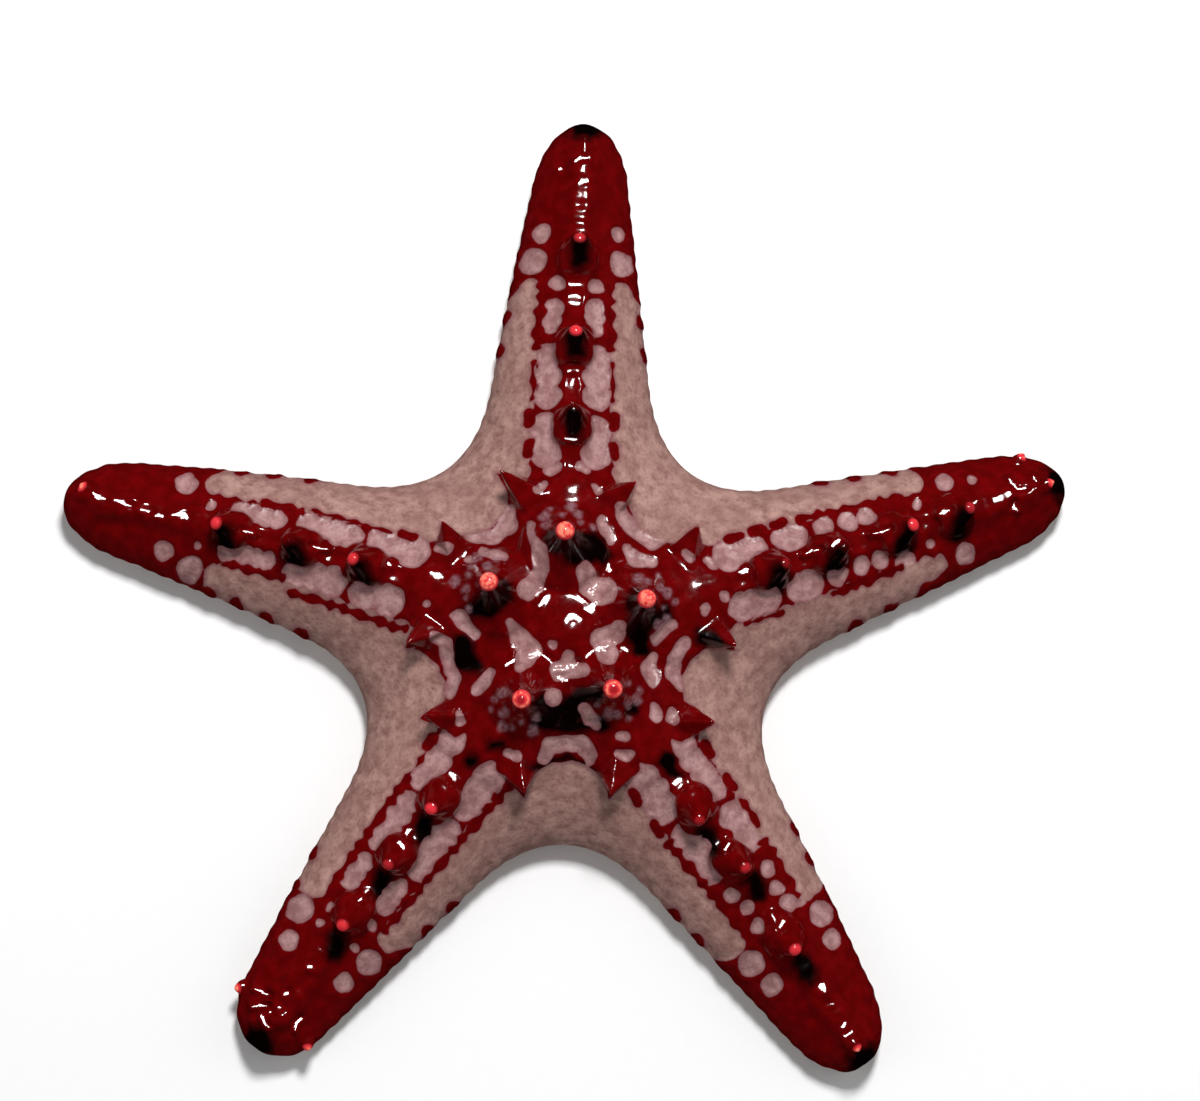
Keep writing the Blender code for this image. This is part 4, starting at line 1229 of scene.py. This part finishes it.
def flesh_material(name, base, light, per_mm, rough):
    """Soft flesh of the underside, a little mottled and moist."""
    graph = Graph(name)
    fine = graph.noise(per_mm, 4.0)
    graph.drive("Base Color", graph.mixed(graph.ranged(fine, 0.35, 0.65), base, light))
    graph.drive("Roughness", graph.ranged(fine, 0.3, 0.7, rough, rough + 0.15))
    graph.set("Subsurface Weight", 0.1)
    graph.set("Subsurface Radius", (0.002, 0.001, 0.0006))
    graph.bump(fine, 0.06)
    return graph.material


def floor_material(colour):
    """Plain pale board with a very faint grain."""
    graph = Graph("pale_board")
    fine = graph.noise(0.8, 4.0)
    light = tuple(min(1.0, part * 1.02) for part in colour[:3])
    graph.drive("Base Color", graph.mixed(fine, colour, light))
    graph.set("Roughness", 0.6)
    return graph.material


def colour_property(name, description, default):
    """A colour that the user can change."""
    return bpy.props.FloatVectorProperty(
        name=name, description=description, default=default, size=3, min=0.0, max=1.0, subtype="COLOR")


def length_property(name, description, default):
    """A length in metres that the user can change."""
    return bpy.props.FloatProperty(
        name=name, description=description, default=default, min=0.0, unit="LENGTH")


class SeaStarSizes(bpy.types.PropertyGroup):
    """Sizes of the fine forms."""

    grain: length_property("Skin grain", "Spacing of the points of the skin's mesh", 0.2 * MM)
    window_depth: length_property("Window depth", "How deep the pale windows lie", 0.2 * MM)
    bead_height: length_property("Bead height", "Height of the beads along each arm's ridge", 0.06 * MM)
    foot_spacing: length_property("Foot spacing", "Distance between tube feet in a row", 1.5 * MM)
    foot_radius: length_property("Foot radius", "Radius of a tube foot's sucker", 0.42 * MM)
    spine_spacing: length_property("Spine spacing", "Distance between the spines along a furrow", 0.8 * MM)
    spine_length: length_property("Spine length", "Length of the spines along a furrow", 1.2 * MM)


class SeaStarColours(bpy.types.PropertyGroup):
    """Colours of the skin and of the stage."""

    red: colour_property("Red", "Main red of the back", (0.086, 0.0004, 0.0008))
    bright_red: colour_property("Bright red", "Red where the skin is thin", (0.135, 0.0008, 0.0016))
    # Painted shade: the nearly black red painted beside the knobs and in the disc's hollows; the arms' ends
    # darken to it too
    dark: colour_property("Dark red", "Nearly black red of the hollows", (0.002, 0.0003, 0.0004))
    window: colour_property("Window", "Pale windows of the back", (0.25, 0.117, 0.115))
    window_light: colour_property("Light window", "Lightest part of the windows", (0.39, 0.22, 0.215))
    band: colour_property("Band", "Grey brown of the outer bands", (0.22, 0.107, 0.09))
    band_light: colour_property("Light band", "Light mottling of the outer bands", (0.4, 0.232, 0.197))
    pale_edge: colour_property("Pale edge", "Brown that rims the pale markings", (0.19, 0.06, 0.068))
    pink: colour_property("Knob tip", "Pink of the knobs' tips", (0.66, 0.03, 0.04))
    pink_light: colour_property("Light knob tip", "Lightest part of the knobs' tips", (1.0, 0.24, 0.16))
    speckle: colour_property("Speckle", "Grey speckles beside the knobs", (0.24, 0.13, 0.15))
    under: colour_property("Underside", "Cream of the underside", (0.6, 0.42, 0.3))
    under_light: colour_property("Light underside", "Lighter grains of the underside", (0.78, 0.62, 0.48))
    under_line: colour_property("Underside line", "Lines between the underside's grains", (0.36, 0.17, 0.12))
    foot: colour_property("Tube foot", "Tube feet", (0.72, 0.42, 0.26))
    foot_light: colour_property("Light tube foot", "Light part of the tube feet", (0.88, 0.66, 0.46))
    floor: colour_property("Floor", "Pale board", (0.8, 0.8, 0.8))


class SeaStarStage(bpy.types.PropertyGroup):
    """Light of the stage."""

    key_power: bpy.props.FloatProperty(
        name="Key light", description="Power of the main light", default=3.4, min=0.0, unit="POWER")
    fill_power: bpy.props.FloatProperty(
        name="Fill light", description="Power of the soft side light", default=0.6, min=0.0, unit="POWER")
    sky: bpy.props.FloatProperty(
        name="Surround", description="Strength of the pale surround", default=0.25, min=0.0)


def settings():
    """The sizes, colours and stage values of this scene."""
    scene = bpy.context.scene
    return scene.sea_star_sizes, scene.sea_star_colours, scene.sea_star_stage


class SEASTAR_OT_skin(bpy.types.Operator):
    """Build the one skin of the disc and the arms, with all its knobs and markings"""

    bl_idname = "sea_star.skin"
    bl_label = "Skin"

    def execute(self, context):
        size, colours, _ = settings()
        knobs = all_knobs()
        heap = Heap()
        heap.add(*body_shell())
        for knob in knobs:
            sides = 4 if knob.kind == "spine" else 72
            add_turned(heap, knob_profile(knob.kind), knob.radius, sides, ROOT_SINK, knob.foot, knob.tip)
        data = fused_mesh(heap.mesh("skin"), size.grain / MM)
        dress_skin(data, knobs, size)
        finish_piece("skin", data, skin_material(colours), ("disc", *ARM_NODES))
        return {"FINISHED"}


class SEASTAR_OT_sieve_plate(bpy.types.Operator):
    """Build the sieve plate"""

    bl_idname = "sea_star.sieve_plate"
    bl_label = "Sieve plate"

    def execute(self, context):
        _, colours, _ = settings()
        low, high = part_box("madreporite")
        centre = disc_centre()
        middle = (low + high) / 2.0 - centre
        radius, height = (high.x - low.x) / 2.0 / MM, (high.z - low.z) / MM
        rise = np.linspace(0.0, 1.0, 14)
        wide = np.sqrt(1.0 - rise**2.6)
        points, faces = turned(wide * radius, rise * height * 0.5, 48, height * 0.5)
        turn = np.arctan2(points[:, 1], points[:, 0])
        away = np.hypot(points[:, 0], points[:, 1]) / radius
        ripple = 0.05 * np.sin(9.0 * turn + 5.0 * away) * blend(away, 0.15, 0.5) * (points[:, 2] > 0.0)
        points[:, 2] += ripple - 0.05 * (points[:, 2] > 0.0)
        points = points + [middle.x / MM, middle.y / MM, middle.z / MM]
        heap = Heap()
        heap.add(points, faces)
        finish_piece("sieve_plate", heap.mesh("sieve_plate"), sieve_material(colours),
                     ("madreporite",))
        return {"FINISHED"}


class SEASTAR_OT_mouth(bpy.types.Operator):
    """Build the mouth with its jaws and their spines"""

    bl_idname = "sea_star.mouth"
    bl_label = "Mouth"

    def execute(self, context):
        _, colours, _ = settings()
        heap = Heap()
        add_membrane(heap)
        add_jaws(heap)
        material = flesh_material("lips", colours.under, colours.under_light, 2.0, 0.35)
        finish_piece("mouth_lips", heap.mesh("mouth_lips"), material, ("mouth",))
        return {"FINISHED"}


def add_membrane(heap):
    """The membrane round the mouth: a shallow closed dish, puckered to its middle."""
    sides, rings = 60, 12
    turns = np.arange(sides) * math.tau / sides
    share = np.linspace(1.0, 0.08, rings)
    fold = 0.12 * np.cos(10.0 * turns)[None] * np.sin(math.pi * share)[:, None]
    low = 2.0 + 0.5 * (1.0 - share)[:, None] ** 3 + fold
    radius = (MOUTH_RADIUS - 0.35) * share
    ring = np.stack([radius[:, None] * np.cos(turns), radius[:, None] * np.sin(turns), low], -1)
    top = ring[::-1].copy()
    top[..., 2] = 2.85
    points = np.concatenate([ring, top]).reshape(-1, 3)
    faces = []
    for row in range(2 * rings):
        here, there = row * sides, (row + 1) % (2 * rings) * sides
        for step in range(sides):
            after = (step + 1) % sides
            faces.append((here + after, here + step, there + step, there + after))
    heap.add(points, faces)


def add_jaws(heap):
    """Five pairs of jaw plates between the furrows, each with spines that point to the mouth."""
    plate, spine = knob_profile("back", 12), knob_profile("spine", 8)
    for turn in gap_turns():
        out, left = plan_axes(turn)
        for sign in (1.0, -1.0):
            axes = np.array([[*out, 0.0], [*(left * sign), 0.0], [0.0, 0.0, 1.0]])
            add_turned(heap, plate, JAW_RADIUS, 20, 0.4, *(np.array(JAW) @ axes))
            for step in range(3):
                ends = np.array(JAW_SPINE) + step * np.array(JAW_SPINE_STEP)
                add_turned(heap, spine, JAW_SPINE_RADIUS, 8, 0.2, *(ends @ axes))


def line_furrows(name, material, spacing, stagger, end_share, add, size):
    """One piece for each arm: a small form on each side at every step along its furrow."""
    for node, arm in zip(ARM_NODES, ARMS):
        heap = Heap()
        for step in range(int((arm.reach - arm.tip * end_share - FURROW_START) / spacing)):
            for side in (1.0, -1.0):
                add(heap, arm, FURROW_START + spacing * (step + stagger * side), side, size, step)
        finish_piece(f"{name}_{node}", heap.mesh(f"{name}_{node}"), material)


class SEASTAR_OT_tube_feet(bpy.types.Operator):
    """Build two rows of tube feet in each furrow"""

    bl_idname = "sea_star.tube_feet"
    bl_label = "Tube feet"

    def execute(self, context):
        size, colours, _ = settings()
        material = flesh_material("tube_feet", colours.foot, colours.foot_light, 3.0, 0.25)
        spacing, radius = size.foot_spacing / MM, size.foot_radius / MM
        line_furrows("tube_feet", material, spacing, 0.25, 0.4, add_foot, radius)
        return {"FINISHED"}


def add_foot(heap, arm, along, side, radius, step):
    """One tube foot that hangs from the furrow's roof, with its sucker near the floor."""
    low, roof, depth = furrow_size(arm, along)
    share = low / FURROW_HALF_WIDTH
    sway = 0.18 * math.sin(2.4 * step + side)
    root = np.array([*on_arm(arm, along, side * 0.5 * roof), depth + 0.3])
    low_point = on_arm(arm, along + sway, side * 0.5 * roof + 0.1 * sway)
    tip = np.array([*low_point, 0.12 + 0.25 * (step % 3) * share])
    rise = np.linspace(0.0, 1.0, 15)
    stalk = 0.62 + 0.06 * np.cos(30.0 * rise)
    sucker = 0.62 + 0.38 * np.sin(np.clip((rise - 0.82) / 0.12, 0.0, 1.0) * math.pi / 2.0)
    wide = np.where(rise > 0.82, sucker, stalk) * round_end(rise, 0.94)
    add_turned(heap, (wide, rise), radius * share, 12, 0.1, root, tip)


class SEASTAR_OT_furrow_spines(bpy.types.Operator):
    """Build the spines along both edges of each furrow"""

    bl_idname = "sea_star.furrow_spines"
    bl_label = "Furrow spines"

    def execute(self, context):
        size, colours, _ = settings()
        material = flesh_material("furrow_spines", colours.under, colours.under_light, 2.5, 0.4)
        spacing, length = size.spine_spacing / MM, size.spine_length / MM
        line_furrows("furrow_spines", material, spacing, 0.0, 0.5, add_furrow_spine, length)
        return {"FINISHED"}


def add_furrow_spine(heap, arm, along, side, length, step):
    """One short blunt spine that leans in over the furrow."""
    low = furrow_size(arm, along)[0]
    share = low / FURROW_HALF_WIDTH
    fan = 0.35 * (step % 3 - 1)
    root = np.array([*on_arm(arm, along, side * low * 1.02), 0.75 * share])
    run = np.array([*(on_arm(arm, along + fan, side * (low - 1.0)) - on_arm(arm, along, side * low)), -0.35])
    tip = root + run / np.linalg.norm(run) * length * share
    add_turned(heap, knob_profile("back", 9), 0.24 * share, 8, 0.3, root, tip)


class SEASTAR_OT_stage(bpy.types.Operator):
    """Set the floor, the lights, the surround and the camera"""

    bl_idname = "sea_star.stage"
    bl_label = "Stage"

    def execute(self, context):
        _, colours, stage = settings()
        add_floor(colours)
        add_lights(stage)
        add_camera()
        return {"FINISHED"}


def add_floor(colours):
    """A broad pale board under the animal."""
    data = bpy.data.meshes.new("floor")
    half = FLOOR_HALF_WIDTH
    corners = ((-half, -half, 0.0), (half, -half, 0.0), (half, half, 0.0), (-half, half, 0.0))
    data.from_pydata(corners, [], [(0, 1, 2, 3)])
    data.materials.append(floor_material(colours.floor))
    floor = bpy.data.objects.new("floor", data)
    floor.visible_glossy = False
    bpy.context.scene.collection.objects.link(floor)


def add_area_light(name, place, size, power, mirrored=False):
    """One square light that looks at the animal; only a mirrored one shows in wet gloss."""
    data = bpy.data.lights.new(name, "AREA")
    data.shape = "SQUARE"
    data.size = size
    data.energy = power
    lamp = bpy.data.objects.new(name, data)
    lamp.location = place
    lamp.rotation_euler = (-Vector(place)).to_track_quat("-Z", "Y").to_euler()
    lamp.visible_glossy = mirrored
    bpy.context.scene.collection.objects.link(lamp)


def add_lights(stage):
    """A small key light from beyond the animal, three broad fills and a pale surround."""
    add_area_light("key", KEY_PLACE, KEY_SIZE, stage.key_power, mirrored=True)
    for name, place, share in FILLS:
        add_area_light(name, place, FILL_SIZE, share * stage.fill_power)
    world = bpy.data.worlds.new("surround")
    world.use_nodes = True
    background = world.node_tree.nodes["Background"]
    background.inputs["Color"].default_value = (1.0, 1.0, 1.0, 1.0)
    background.inputs["Strength"].default_value = stage.sky
    world.cycles_visibility.glossy = False
    bpy.context.scene.world = world


def add_camera():
    """The camera, nearly straight above, with the photograph's view."""
    data = bpy.data.cameras.new("camera")
    data.sensor_width = CAMERA_SENSOR
    data.lens = CAMERA_LENS
    data.clip_start = 0.01
    data.clip_end = 20.0
    camera = bpy.data.objects.new("camera", data)
    right = Vector(CAMERA_RIGHT)
    up = Vector(CAMERA_UP)
    back = right.cross(up).normalized()
    up = back.cross(right).normalized()
    turn = Matrix((right.normalized(), up, back)).transposed().to_4x4()
    place = disc_centre() + Vector(CAMERA_PLACE) * MM
    camera.matrix_world = Matrix.Translation(place) @ turn
    bpy.context.scene.collection.objects.link(camera)
    bpy.context.scene.camera = camera
    bpy.context.scene.view_settings.view_transform = "Standard"


OPERATORS = (
    SEASTAR_OT_skin,
    SEASTAR_OT_sieve_plate,
    SEASTAR_OT_mouth,
    SEASTAR_OT_tube_feet,
    SEASTAR_OT_furrow_spines,
    SEASTAR_OT_stage,
)


class SEASTAR_PT_panel(bpy.types.Panel):
    """The sea star's sizes, colours and steps"""

    bl_idname = "SEASTAR_PT_panel"
    bl_label = "Red knob sea star"
    bl_space_type = "VIEW_3D"
    bl_region_type = "UI"
    bl_category = "Sea star"

    def draw(self, context):
        for group in settings():
            box = self.layout.box()
            for name in group.__annotations__:
                box.prop(group, name)
        for operator in OPERATORS:
            self.layout.operator(operator.bl_idname)


CLASSES = (SeaStarSizes, SeaStarColours, SeaStarStage, *OPERATORS, SEASTAR_PT_panel)


def register():
    """Adds the classes and the scene's settings."""
    for item in CLASSES:
        bpy.utils.register_class(item)
    bpy.types.Scene.sea_star_sizes = bpy.props.PointerProperty(type=SeaStarSizes)
    bpy.types.Scene.sea_star_colours = bpy.props.PointerProperty(type=SeaStarColours)
    bpy.types.Scene.sea_star_stage = bpy.props.PointerProperty(type=SeaStarStage)


def unregister():
    """Takes the settings and the classes away."""
    del bpy.types.Scene.sea_star_stage
    del bpy.types.Scene.sea_star_colours
    del bpy.types.Scene.sea_star_sizes
    for item in reversed(CLASSES):
        bpy.utils.unregister_class(item)


def main():
    """Builds every piece and the stage."""
    register()
    bpy.ops.sea_star.skin()
    bpy.ops.sea_star.sieve_plate()
    bpy.ops.sea_star.mouth()
    bpy.ops.sea_star.tube_feet()
    bpy.ops.sea_star.furrow_spines()
    bpy.ops.sea_star.stage()


if __name__ == "__main__":
    main()
